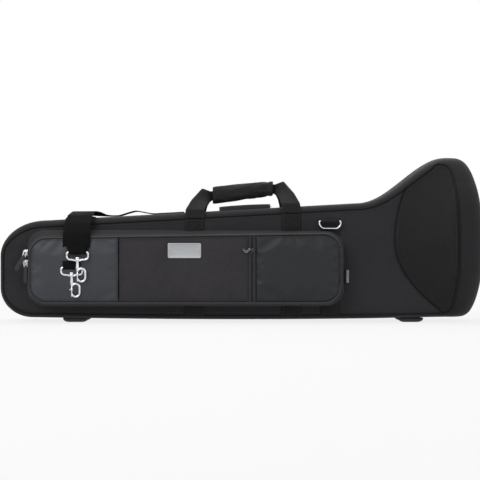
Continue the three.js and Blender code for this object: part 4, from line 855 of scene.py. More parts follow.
# Side zip. A second way into the pocket: a coil zip stands upright in the flap, half hidden by a fold of its tape
# on either side.
side_z = np.linspace(0.0432, 0.1735, 70)
for name, x0, x1 in (("left", 0.0168, 0.0236), ("right", 0.0312, 0.0244)):
    way = np.linspace(0, 1, 9)
    x = x0 + (x1 - x0) * way
    y = -(pocket_front - 0.0010 + 0.0022 * np.sin(np.pi * np.clip(way * 1.15, 0, 1)) ** 0.8)
    fold = np.stack([np.tile(x, (70, 1)), np.tile(y, (70, 1)), np.repeat(side_z[:, None], 9, 1)], -1)
    fold[..., 0] += 0.0004 * np.sin(side_z * 260 + x0 * 900)[:, None] * np.sin(np.pi * way)
    if name == "right":
        fold = fold[:, ::-1]
    tape = surface(f"side_zip_fold_{name}", fold, zip_tape, thickness=0.0008)
    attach(tape, "pocket_flap")
    path = joined(0.0240 + (0.0007 if name == "right" else -0.0007), -pocket_front + 0.0002, side_z)
    coil = stitches(f"side_zip_coil_{name}", path, (0, -1, 0), zip_coil, pitch=0.0019, length=0.0014, radius=0.0006)
    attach(coil, "pocket_flap")
    path = joined(x0 + (x1 - x0) * 0.3, -pocket_front - 0.0010, side_z)
    row = stitches(f"side_zip_thread_{name}", path, (0, -1, 0), thread)
    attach(row, "pocket_flap")
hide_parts("side_zip")

# Badge plate. A small pressed sheet of satin metal is riveted to the middle panel: blank, with a raised border.
# Brushed zinc alloy: fine lines along its length, half matt.
satin_metal, tree = blank_material("brushed_zinc_alloy")
satin_place = node(tree, "TexCoord").outputs["Object"]
satin_long = node(tree, "Mapping", {}, {"Vector": satin_place, "Scale": (40.0, 400.0, 2600.0)})
satin_lines = node(tree, "TexNoise", {}, {"Vector": satin_long.outputs[0], "Scale": 1.0, "Detail": 3.0})
satin_tone = node(tree, "MixRGB", {}, {0: satin_lines.outputs["Fac"], 1: linear("#8f9194"), 2: linear("#b3b5b8")})
satin_rough = node(tree, "MapRange", {}, {"Value": satin_lines.outputs["Fac"], "To Min": 0.38, "To Max": 0.55})
satin_bump = node(tree, "Bump", {}, {"Strength": 0.3, "Distance": 0.00005, "Height": satin_lines.outputs["Fac"]})
satin_skin = node(tree, "BsdfPrincipled", {}, {
    "Base Color": satin_tone.outputs[0], "Metallic": 1.0, "Roughness": satin_rough.outputs[0],
    "Normal": satin_bump.outputs["Normal"]})
node(tree, "OutputMaterial", {}, {"Surface": satin_skin.outputs[0]})
badge_steps = [(0.0, 0.0), (0.0, 0.0020), (0.0004, 0.0026), (0.0013, 0.0028), (0.0022, 0.0026), (0.0027, 0.0020),
               (0.0034, 0.0018), (0.0148, 0.0019)]
badge_y, badge_corner = -(pocket_front + 0.0003), 0.003
badge_rings = []
for inset, height in badge_steps:
    corner = max(badge_corner - inset, 0.0002)
    line = rounded(badge_x, badge_z, badge_width - 2 * inset, badge_height - 2 * inset, corner, corner, 5)
    badge_rings.append(np.insert(line, 1, badge_y - height, 1))
badge = closed_piece("badge_blank", np.array(badge_rings), satin_metal)
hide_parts("badge_plate")
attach(badge, "pocket_flap")
for side, x in (("left", -0.1390), ("right", -0.0800)):
    rings = []
    for radius, height in ((0.0014, 0.0010), (0.0014, 0.0024), (0.0010, 0.0029), (0.0004, 0.0031)):
        line = ring_of(radius, 12) + np.array([x, badge_z])
        rings.append(np.insert(line, 1, badge_y - height, 1))
    rivet = closed_piece(f"badge_rivet_{side}", np.array(rings), satin_metal)
    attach(rivet, "pocket_flap")


# Carry handles. A loop of webbing rises from each half, folds in two on its way up, and both meet side by side in
# one padded wrap of nylon over foam that closes round them.
rise_shares = np.array([
    [0, 0, 0, 1, 0], [0.03, 0.05, 0.36, 1, 0], [0.24, 0.34, 0.68, 0.8, 0.25], [0.6, 0.74, 1, 0.38, 0.72],
    [0.9, 1, 0.97, 0.05, 0.5]])
grip_left = np.array([-0.0555, 0.0, 0.25563])
grip_right = np.array([0.0670, 0.0, 0.26988])
grip_height = np.array([0.036, 0.031])
grip_depth, grip_corner = 0.0225, 0.0095
handle_gap = 0.003
for half, (side, flat_depth, _, body) in depths.items():
    centres, edges = [], []
    for end, grip, way in (("left", grip_left, 1), ("right", grip_right, -1)):
        base_x = web_places[end][0]
        base = np.array([base_x, side * (flat_depth + 0.0013), top_edge(base_x - web_half) - 0.0111])
        along, inwards, up, across, upright = rise_shares.T
        shares = np.stack([along, inwards, up], 1)
        centre = base + (grip + np.array([0, side * handle_gap, 0]) - base) * shares
        edge = np.stack([way * across, 0 * across, -upright], 1) * web_half
        centres.append(centre[::way])
        edges.append(edge[::way])
    inside = (grip_left + (grip_right - grip_left) * np.array([[0.08], [0.5], [0.92]])
              + np.array([0, side * handle_gap, 0]))
    centres.insert(1, inside)
    edges.insert(1, np.tile([0.0, 0.0, -0.5 * web_half], (3, 1)))
    line = spaced(np.hstack([np.vstack(centres), np.vstack(edges)]), 320)
    line = smoothed(line, 5, closed=False)
    loop = strap(f"{half}_handle_loop", line[:, :3], line[:, 3:], 0.0022, black_webbing)
    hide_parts(f"{half}_handle")
    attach(loop, f"{half}_handle")
    way = np.gradient(line[:, :3], axis=0)
    normal = np.cross(way, line[:, 3:])
    normal *= -np.sign(normal[:1, 1:2] * side) / np.linalg.norm(normal, axis=1)[:, None]
    for part, edge_share in (("inner", -0.86), ("outer", 0.86)):
        for face in (-1, 1):
            path = line[:, :3] + line[:, 3:] * edge_share + face * normal * 0.0011
            row = stitches(f"{half}_handle_thread_{part}_{'out' if face < 0 else 'in'}", path, normal, thread)
            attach(row, f"{half}_handle")
    for end, (x, _) in web_places.items():
        top = top_edge(x - web_half) - 0.0115
        corners = [(-1, 0), (1, 0), (1, -1), (-1, -1), (1, 0), (-1, 0), (1, -1)]
        box = np.array([
            [x + sx * 0.0140, side * (flat_depth + 0.0023), top - 0.004 + sz * 0.022] for sx, sz in corners])
        row = stitches(f"{half}_handle_box_{end}", spaced(box, 240), (0, side, 0), thread, pitch=0.0036, length=0.0026)
        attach(row, body)

# The wrap's cloth: a close plain weave in brown black, its edges bound with tape.
wrap_nylon = cloth("wrap_nylon", "#141212", "#242121", 0.0013, 0.00015, 0.75, 0.08, 0.22)
wrap_rows = [(0.075, 0.30), (0.02, 0.34), (0.0, 0.62), (-0.001, 0.86), (0.006, 0.97), (0.02, 1.0)]
wrap_rows += [(share, 1.0) for share in np.linspace(0.05, 0.95, 34)]
wrap_rows += [(1 - share, size) for share, size in wrap_rows[:6][::-1]]
wrap_rings = []


def grip_at(share):
    """The wrap's middle and height at a share of its length."""
    return grip_left + (grip_right - grip_left) * share, grip_height[0] + (grip_height[1] - grip_height[0]) * share


for share, size in wrap_rows:
    middle, height = grip_at(share)
    puff = 1 + 0.035 * math.sin(math.pi * min(max(share, 0), 1))
    line = rounded(0, 0, grip_depth * size * puff, (height - 0.0015) * size ** 0.5 * puff, grip_corner * size,
                   grip_corner * size, 9)
    line = spaced(line, 64, closed=True)
    wrap_rings.append(joined(middle[0], line[:, 0], middle[2] + line[:, 1]))
grip_wrap = closed_piece("grip_wrap", np.array(wrap_rings), wrap_nylon)
wrap_x = points_of(grip_wrap)[:, 0]
pressed(grip_wrap, (wrap_x < grip_left[0] + 0.004) | (wrap_x > grip_right[0] - 0.004), 0.8, 0.02, 0.0014)
finer(grip_wrap)
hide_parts("handle_wrap")
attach(grip_wrap, "rear_handle")
for end, share in (("left", 0.035), ("right", 0.965)):
    middle, height = grip_at(share)
    line = spaced(rounded(0, 0, 0.0229, height - 0.0011, 0.0097, 0.0097, 9), 100, closed=True)
    path = joined(middle[0], line[:, 0], middle[2] + line[:, 1])
    out = path - middle
    row = stitches(f"grip_wrap_thread_{end}", path, out, thread, closed=True)
    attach(row, "rear_handle")


# Zip hood. A stiffened flap of the cover's cloth stands over the zip between the handles, bound at both ends, and
# the two sliders park under it.
hood_left, hood_right, hood_reach, hood_height = -0.0403, 0.0597, 0.0320, 0.0084
hood_x = np.linspace(hood_left, hood_right, 46)
hood_turn = np.linspace(-1, 1, 61)
hood_y = hood_reach * np.sin(hood_turn * np.pi / 2)
hood_rise = 0.0003 + hood_height * (1 - np.abs(np.sin(hood_turn * np.pi / 2)) ** 7)
hood_swell = 0.0014 * np.sin(np.pi * np.linspace(0, 1, 46))[:, None] ** 0.7 * np.cos(hood_turn * np.pi / 2)[None] ** 0.5
hood_points = joined(hood_x[:, None], hood_y, top_edge(hood_x)[:, None] + hood_rise[None] + hood_swell)
# The hood is cut from the wall's cloth, whose darker colour is painted shade.
hood = surface("zip_hood_cloth", hood_points[:, ::-1], wall_nylon_painted_shade, thickness=0.0026)
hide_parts("zip_hood")
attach(hood, "rear_half")
for end, row_at, beside in (("left", 0, 0.0040), ("right", -1, -0.0040)):
    path = hood_points[row_at] - np.array([0, 0, 0.0012])
    binding = cord_of(f"zip_hood_binding_{end}", path, ring_of(0.0016, 10), piping_braid, up=(1.0, 0.0, 0.0))
    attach(binding, "rear_half")
    path = hood_points[row_at] + np.array([beside, 0, 0.0002])
    row = stitches(f"zip_hood_thread_{end}", path, (0, 0, 1), thread)
    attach(row, "rear_half")


# Sliders and pulls. Each slider is die-cast and chrome plated, with a wedge body and a bridge over its back that
# holds the pull. The main pulls are flat metal, the pocket's are leather on a ring.
def slider(name, node_name, body, middle, along, out, length, width, height, material):
    """A zip slider: a stack of outlines that narrow to the tail by the cube of the way, and a bridge of wire over
    its back, from a half sine of the height."""
    along, out = np.asarray(along, float), np.asarray(out, float)
    over = np.cross(along, out)
    plan = spaced(rounded(0, 0, length, width, width * 0.42, width * 0.42, 8), 56, closed=True)
    plan[:, 1] *= 1 - 0.28 * np.clip(-plan[:, 0] / length + 0.2, 0, 1) ** 2
    levels = [(0.0, 0.90), (0.10, 0.98), (0.30, 1.0), (0.36, 0.80), (0.52, 0.80), (0.58, 0.98), (0.78, 0.96),
              (0.90, 0.86)]
    rings = [
        middle + height * (level - 0.5) * out + size * (plan[:, :1] * along + plan[:, 1:] * over)
        for level, size in levels]
    made = closed_piece(name, np.array(rings), material)
    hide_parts(node_name)
    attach(made, body)
    turn = np.linspace(0, np.pi, 24)
    arch = (middle + np.cos(turn)[:, None] * 0.34 * length * along
            + (height * (0.36 + 0.75 * np.sin(turn)))[:, None] * out)
    bridge = cord_of(f"{name}_bridge", arch, ring_of(width * 0.12, 10, 0.8), material, up=over)
    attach(bridge, body)


def plate_of(name, plan, levels, material):
    """A flat plate: the plan, a function of the inset, repeated at each level of its thickness."""
    return closed_piece(name, np.array([plan(inset, level) for level, inset in levels]), material)


slider_length, slider_width = 0.0147, 0.009
slope = math.atan((rise_right - rise_left) / (flare_start - tail_top_x))
slope_along = np.array([math.cos(slope), 0.0, math.sin(slope)])
slope_out = np.array([-math.sin(slope), 0.0, math.cos(slope)])
for end, x, way in (("left", 0.0037, -1), ("right", 0.0337, 1)):
    foot_point = np.array([x, 0.0, top_edge(x) + 0.0015])
    slider(f"main_zip_slider_{end}", f"main_slider_{end}", f"main_slider_{end}", foot_point + slope_out * 0.0013,
           slope_along * way, slope_out, slider_length, slider_width, 0.0026, chrome)
    start = foot_point + slope_along * way * 0.00765 + slope_out * 0.0020

    def pull_plan(inset, level):
        """The main pull's outline, drawn in by an inset at a level: it widens along its length from 72 percent."""
        line = spaced(rounded(0.012, 0, 0.024 - 2 * inset, 0.0078 - 2 * inset, 0.0026 - inset, 0.0026 - inset, 6), 48,
                      closed=True)
        line[:, 1] *= 0.72 + 0.28 * ease(line[:, :1] / 0.024)[:, 0]
        return start + line[:, :1] * way * slope_along + line[:, 1:] * np.array([0.0, 1.0, 0.0]) + level * slope_out

    main_pull = plate_of(f"main_zip_pull_{end}", pull_plan,
                         [(-0.0006, 0.0004), (-0.0004, 0.0), (0.0004, 0.0), (0.0006, 0.0004), (0.0006, 0.0012),
                          (0.0004, 0.0016)], chrome)
    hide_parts(f"main_pull_{end}")
    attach(main_pull, f"main_pull_{end}")

# Pull leather: split hide, pigmented black and glazed at the edges, with a soft grain.
pull_leather, tree = blank_material("black_split_leather")
leather_place = node(tree, "TexCoord").outputs["Object"]
leather_cells = node(tree, "TexVoronoi", {}, {"Vector": leather_place, "Scale": 900.0})
leather_wear = node(tree, "TexNoise", {}, {"Vector": leather_place, "Scale": 160.0, "Detail": 4.0})
leather_tone = node(tree, "MixRGB", {}, {0: leather_wear.outputs["Fac"], 1: linear("#0f0d0e"), 2: linear("#211e1f")})
leather_bump = node(tree, "Bump", {},
                    {"Strength": 0.5, "Distance": 0.0002, "Height": leather_cells.outputs["Distance"]})
leather_skin = node(tree, "BsdfPrincipled", {}, {
    "Base Color": leather_tone.outputs[0], "Roughness": 0.5, "Specular IOR Level": 0.45,
    "Normal": leather_bump.outputs["Normal"]})
node(tree, "OutputMaterial", {}, {"Surface": leather_skin.outputs[0]})
pull_y = -0.08625
for end, z, tilt in (("upper", 0.13975, math.radians(-29)), ("lower", 0.1198, 0.0)):
    slider(f"pocket_zip_slider_{end}", f"pocket_slider_{end}", f"pocket_slider_{end}",
           np.array([-0.4224, -0.0802, z]), (0, 0, -1), (-1, 0, 0), slider_length, slider_width, 0.006, chrome)
    pivot = np.array([-0.4234, pull_y, z])
    down = np.array([math.sin(tilt), 0.0, -math.cos(tilt)])
    beside = np.array([math.cos(tilt), 0.0, math.sin(tilt)])
    line = spaced(rounded(0, -0.0035, 0.0062, 0.0120, 0.0028, 0.0028, 7), 60, closed=True)
    path = pivot + line[:, :1] * beside - line[:, 1:] * down
    link = cord_of(f"pocket_pull_ring_{end}", path, ring_of(0.00095, 10), chrome, closed=True)
    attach(link, f"pocket_pull_{end}")

    def tab_plan(inset, level):
        """The leather tab's outline, drawn in by an inset at a level: it widens towards its end from 80 percent."""
        line = spaced(rounded(0, -0.0233, 0.0086 - 2 * inset, 0.0332 - 2 * inset, 0.0024 - inset / 2,
                              0.0034 - inset / 2, 6), 80, closed=True)
        line[:, 0] *= 0.80 + 0.20 * ease(-line[:, 1] / 0.034)
        return pivot + line[:, :1] * beside - line[:, 1:] * down + np.array([0.0, level, 0.0])

    tab = plate_of(f"pocket_pull_tab_{end}", tab_plan,
                   [(0.0011, 0.0006), (0.0007, 0.0), (-0.0007, 0.0), (-0.0011, 0.0005), (-0.0010, 0.0012),
                    (-0.0012, 0.0018)], pull_leather)
    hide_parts(f"pocket_pull_{end}")
    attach(tab, f"pocket_pull_{end}")
    row = stitches(f"pocket_pull_thread_{end}", tab_plan(0.0013, -0.0011), (0, -1, 0), thread, pitch=0.0028,
                   length=0.0019, radius=0.0003, closed=True)
    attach(row, f"pocket_pull_{end}")

# Moulded plastic, black; the side pull's pale rim is a painted highlight, drawn in satin metal.
pull_plastic, tree = blank_material("moulded_black_plastic")
plastic_place = node(tree, "TexCoord").outputs["Object"]
plastic_grain = node(tree, "TexNoise", {}, {"Vector": plastic_place, "Scale": 1400.0, "Detail": 2.0})
plastic_tone = node(tree, "MixRGB", {}, {0: plastic_grain.outputs["Fac"], 1: linear("#161617"), 2: linear("#2a2a2c")})
plastic_skin = node(tree, "BsdfPrincipled", {}, {"Base Color": plastic_tone.outputs[0], "Roughness": 0.35})
node(tree, "OutputMaterial", {}, {"Surface": plastic_skin.outputs[0]})
slider("side_zip_slider", "side_slider", "side_slider", np.array([0.0252, -0.0958, 0.144]), (0, 0, 1), (0, -1, 0),
       0.011, 0.007, 0.0026, pull_plastic)
tick = np.array([[0.0053, 0.1470], [0.0086, 0.1443], [0.0118, 0.1411], [0.0133, 0.1412], [0.0160, 0.1442],
                 [0.0203, 0.1478]])
tick = smoothed(spaced(tick, 60), 4, closed=False)
tick_section = np.array([[-1, -0.6], [-0.8, -1], [0.8, -1], [1, -0.6], [1, 0.6], [0.8, 1], [-0.8, 1],
                         [-1, 0.6]]) * np.array([0.0017, 0.0011])
tick_path = np.insert(tick, 1, -0.0964, 1)
side_tick = cord_of("side_zip_pull", tick_path, tick_section, pull_plastic, up=(0.0, 1.0, 0.0))
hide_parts("side_pull")
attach(side_tick, "side_pull")
tick_way = np.gradient(tick, axis=0)
tick_out = np.stack([-tick_way[:, 1], tick_way[:, 0]], 1) / np.linalg.norm(tick_way, axis=1)[:, None]
# Pale cords of satin metal along both edges of the tick are painted highlights.
for edge, name in ((-1, "lower"), (1, "upper")):
    path = np.insert(tick + edge * 0.0013 * tick_out, 1, -0.0976, 1)
    rim = cord_of(f"side_zip_pull_painted_highlight_{name}", path, ring_of(0.00032, 8), satin_metal)
    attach(rim, "side_pull")

# Zip end tab. Where the pocket's zip stops on the right, its tapes are held under a small tab of webbing with a
# pale reflective edge.
tab_z = np.linspace(0.0797, 0.1053, 30)
tab_centre = joined(0.2118, -0.0633, tab_z)
tab_y = 0.0006 * np.sin(np.pi * np.linspace(0, 1, 30))
end_tab = strap("pocket_zip_end_tab", tab_centre - joined(0.0, tab_y, 0.0), np.tile([0.0051, 0.0, 0.0], (30, 1)),
                0.0018, black_webbing)
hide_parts("zipper_end_tab")
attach(end_tab, "lid")
# Reflective yarn: grey glass-bead thread.
reflective_yarn = cloth("reflective_yarn", "#6d6e70", "#9a9b9e", 0.0006, 0.0001, 0.4, 0.0, 0.5)
edge_path = tab_centre + np.array([0.0024, -0.0012, 0.0])
pale_edge = strap("pocket_zip_end_edge", edge_path, np.tile([0.0026, 0.0, 0.0], (30, 1)), 0.0007, reflective_yarn)
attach(pale_edge, "lid")


# Shoulder strap. Fifty millimetre webbing with a snap hook sewn in at each end: both ends hang over the tail's
# front, the rest lies over the top and hangs behind in a loop that carries a pad and a glide.
strap_width, strap_thickness = 0.050, 0.0020
strap_up, strap_down = -0.3240, -0.1406
strap_from_x = {"up": strap_up, "down": strap_down}
strap_from_y = {"pocket": -pocket_front, "middle": 0.0, "rear": depths["rear"][1]}
strap_from_z = {"hookA": 0.143, "hookB": 0.113, "loop": 0.062}
# Each row names what its x, y and z are counted from, then gives in shares of the width where the middle of the
# webbing lies from there, and the way from the middle to one edge.
strap_route = [
    ("up", "pocket", "hookA", 0.1, -0.186, 0, 0.36, 0, 0),
    ("up", "pocket", "hookA", 0.1, -0.114, 0.18, 0.48, 0, 0),
    ("up", "pocket", "top", 0.1, -0.074, -0.843, 0.5, 0, 0),
    ("up", "pocket", "top", 0.08, -0.024, -0.584, 0.5, 0, 0),
    ("up", "pocket", "top", 0.08, 0.206, -0.207, 0.5, 0, 0),
    ("up", "middle", "top", 0.12, -1.32, 0.121, 0.5, 0, 0),
    ("up", "middle", "top", 0.24, -0.9, 0.277, 0.48, -0.14, 0),
    ("up", "middle", "top", 0.46, -0.4, 0.237, 0.42, -0.28, 0),
    ("up", "middle", "top", 0.78, 0.1, 0.109, 0.32, -0.38, 0),
    ("up", "middle", "top", 1.16, 0.48, 0.068, 0.14, -0.48, 0),
    ("up", "middle", "top", 1.56, 0.64, 0.056, 0, -0.5, 0),
    ("up", "middle", "top", 1.9, 0.64, 0.147, 0, -0.5, 0),
    ("up", "middle", "top", 2.22, 0.64, 0.219, 0, -0.5, 0),
    ("up", "middle", "top", 2.54, 0.64, 0.141, 0, -0.5, 0),
    ("up", "middle", "top", 2.92, 0.64, 0.052, 0, -0.5, 0),
    ("down", "middle", "top", 0, 0.64, 0.059, 0.5, -0.5, 0.02),
    ("down", "middle", "top", 0, 1.24, 0.075, 0.5, 0, 0.028),
    ("down", "middle", "top", 0, 1.51, 0.035, 0.5, 0, 0.028),
    ("down", "middle", "top", 0, 1.67, -0.065, 0.5, 0, 0.028),
    ("down", "rear", "top", 0, 0.048, -0.237, 0.5, 0, 0.028),
    ("down", "rear", "top", 0, 0.048, -0.437, 0.5, 0, 0.028),
    ("down", "rear", "top", 0, 0.028, -0.717, 0.5, 0, 0),
    ("down", "rear", "loop", 0, 0.028, 0, 0.5, 0, -0.5),
    ("up", "rear", "loop", 0, 0.028, 0, -0.5, 0, -0.5),
    ("up", "rear", "top", 0, 0.028, -0.638, -0.5, 0, 0),
    ("up", "rear", "top", 0, 0.048, -0.418, -0.5, 0, -0.028),
    ("up", "rear", "top", 0, 0.048, -0.218, -0.5, 0, -0.028),
    ("up", "middle", "top", 0, 1.67, -0.066, -0.5, 0, -0.028),
    ("up", "middle", "top", 0, 1.5, 0.034, -0.5, 0, -0.028),
    ("up", "middle", "top", 0, 1.24, 0.066, -0.5, 0, -0.028),
    ("up", "middle", "top", 0, -0.8, 0.062, -0.5, 0, -0.028),
    ("up", "middle", "top", 0, -1.1, 0.002, -0.5, 0, -0.028),
    ("up", "middle", "top", 0, -1.4, -0.178, -0.5, 0, 0),
    ("up", "pocket", "top", 0, 0.206, -0.438, -0.5, 0, 0),
    ("up", "pocket", "top", 0, -0.006, -0.618, -0.5, 0, 0),
    ("up", "pocket", "top", 0, -0.03, -0.738, -0.5, 0, 0),
    ("up", "pocket", "top", -0.02, -0.03, -1.557, -0.5, 0, 0),
    ("up", "pocket", "hookB", -0.06, -0.038, 0.18, -0.48, 0, 0),
    ("up", "pocket", "hookB", -0.12, -0.074, 0, -0.36, 0, 0),
]
strap_rows = []
for from_x, from_y, from_z, x, y, z, ax, ay, az in strap_route:
    middle_x = strap_from_x[from_x] + x * strap_width
    middle_z = (float(top_edge(np.array(middle_x))) if from_z == "top" else strap_from_z[from_z]) + z * strap_width
    strap_rows.append([
        middle_x, strap_from_y[from_y] + y * strap_width, middle_z,
        ax * strap_width, ay * strap_width, az * strap_width])
strap_line = smoothed(spaced(np.array(strap_rows), 760), 12, closed=False)
# Shoulder webbing: the same ribs as the webbing that is sewn on, duller, and in a deeper black that is painted shade.
strap_webbing_painted_shade = webbing("ribbed_nylon_shoulder_webbing_painted_shade", "#030303", "#0a0b0a", 0.0020, sheen=0.0, specular=0.08)
# The strap is split where it crosses the zip, and its rear run goes with the rear half. Its front runs stay where they
# are, while the thread at their ends goes with the flap, where the hooks hang.
crossings = np.flatnonzero(np.diff(np.sign(strap_line[:, 1])))
rear_run = strap_line[crossings[0]:crossings[-1] + 1]
shoulder_strap = strap("shoulder_strap", rear_run[:, :3], rear_run[:, 3:], strap_thickness, strap_webbing_painted_shade)
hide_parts("strap_web")
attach(shoulder_strap, "rear_half")
for end, run in (("a", strap_line[:crossings[0] + 1]), ("b", strap_line[crossings[-1]:])):
    front_run = strap(f"shoulder_strap_end_{end}", run[:, :3], run[:, 3:], strap_thickness, strap_webbing_painted_shade)
    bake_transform(front_run)
for end, index in (("a", 0), ("b", -1)):
    for number, up in enumerate((0.006, 0.014)):
        near = np.argmin(np.abs(np.linalg.norm(strap_line[:, :3] - strap_line[index, :3], axis=1) - up))
        middle, edge = strap_line[near, :3], strap_line[near, 3:] * 0.9
        path = middle + np.linspace(-1, 1, 40)[:, None] * edge + np.array([0, -0.0012, 0])
        row = stitches(f"strap_end_{end}_thread_{number}", path, (0, -1, 0), thread, pitch=0.0034, length=0.0025,
                       radius=0.0005)
        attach(row, "pocket_flap")


# Shoulder pad: foam between two layers of cloth, quilted by one row of thread inside its bound edge.
def cushion(name, middle, size, corner, material, rows=11):
    """A pad in the XZ plane: rings of one round-cornered outline, drawn in from the rim to a slit on either face,
    whose thickness falls off by the sixth power of the way to the rim."""
    width, thickness, height = size
    reach = height / 2 - 0.001
    way = np.sin(np.linspace(0, 1, rows) * np.pi / 2)
    insets = np.concatenate([reach * (1 - way), reach * (1 - way[::-1])[1:]])
    depth = np.concatenate([np.sqrt(1 - way ** 6), -np.sqrt(1 - way[::-1] ** 6)[1:]]) * thickness / 2
    outer = rounded(0, 0, width, height, corner, corner, 8)
    outer = np.vstack([outer, outer[:1]])
    run = np.concatenate([[0], np.cumsum(np.linalg.norm(np.diff(outer, axis=0), axis=1))])
    index = np.interp(np.linspace(0, run[-1], 130, endpoint=False), run, np.arange(len(run)))
    rings = []
    for inset, off in zip(insets, depth):
        r = max(corner - inset, 0.0005)
        line = rounded(0, 0, width - 2 * inset, height - 2 * inset, r, r, 8)
        line = np.vstack([line, line[:1]])
        at = np.stack([np.interp(index, np.arange(len(line)), line[:, k]) for k in range(2)], 1)
        rings.append(joined(middle[0] + at[:, 0], middle[1] + off, middle[2] + at[:, 1]))
    return closed_piece(name, np.array(rings), material)


# Pad cloth: the wrap's close weave over foam.
pad_middle, pad_size, pad_corner = (-0.2323, 0.0906, 0.062), (0.150, 0.0076, 0.066), 0.018
shoulder_pad = cushion("shoulder_pad", pad_middle, pad_size, pad_corner, wrap_nylon)
pad_y = points_of(shoulder_pad)[:, 1]
pressed(shoulder_pad, pad_y < pad_middle[1] - 0.0015, 0.9, 0.02, 0.0022)
finer(shoulder_pad)
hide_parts("strap_pad")
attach(shoulder_pad, "rear_half")


def pad_line(inset):
    """The pad's outline, drawn in by an inset."""
    corner = pad_corner - inset
    return spaced(rounded(pad_middle[0], pad_middle[2], pad_size[0] - 2 * inset, pad_size[2] - 2 * inset, corner,
                          corner, 8), 240, closed=True)


binding_path = np.insert(pad_line(0), 1, pad_middle[1], 1)
binding = cord_of("shoulder_pad_binding", binding_path, ring_of(0.0019, 8), piping_braid, closed=True)
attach(binding, "rear_half")
quilt_path = np.insert(pad_line(0.007), 1, pad_middle[1] + 0.0042, 1)
row = stitches("shoulder_pad_thread", quilt_path, (0, 1, 0), thread, closed=True)
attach(row, "rear_half")

# Glide: a moulded plastic frame with a bar across, through which the webbing is looped to set its length.
glide_section = np.array([[-1, -0.5], [-0.7, -1], [0.7, -1], [1, -0.5], [1, 0.5], [0.7, 1], [-0.7, 1],
                          [-1, 0.5]]) * np.array([0.0019, 0.0010])
glide_y, glide_z = 0.0877, 0.140
glide_line = spaced(rounded(strap_down, glide_z, 0.054, 0.026, 0.004, 0.004, 6), 120, closed=True)
glide = cord_of("strap_glide_frame", np.insert(glide_line, 1, glide_y, 1), glide_section, pull_plastic, closed=True)
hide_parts("strap_glide")
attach(glide, "strap_glide")
bar_line = joined(np.linspace(strap_down - 0.027, strap_down + 0.027, 20), glide_y, glide_z)
glide_bar = strap("strap_glide_bar", bar_line, np.tile([0.0, 0.0, 0.0019], (20, 1)), 0.0022, pull_plastic)
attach(glide_bar, "strap_glide")


# Snap hooks. Die-cast zinc, chrome plated: an eye for the webbing, a swivelling stem that ends in an open ring, and
# a sprung bolt with a thumb stud that closes the ring.
def turned_part(name, middle, profile, material, sides=28):
    """A round part about an upright axis: one circle for each pair of height and radius."""
    turn = np.linspace(0, 2 * np.pi, sides, endpoint=False)
    circle = np.stack([np.cos(turn), np.sin(turn), 0 * turn], 1)
    return closed_piece(name, np.array([middle + np.array([0, 0, h]) + r * circle for h, r in profile]), material)


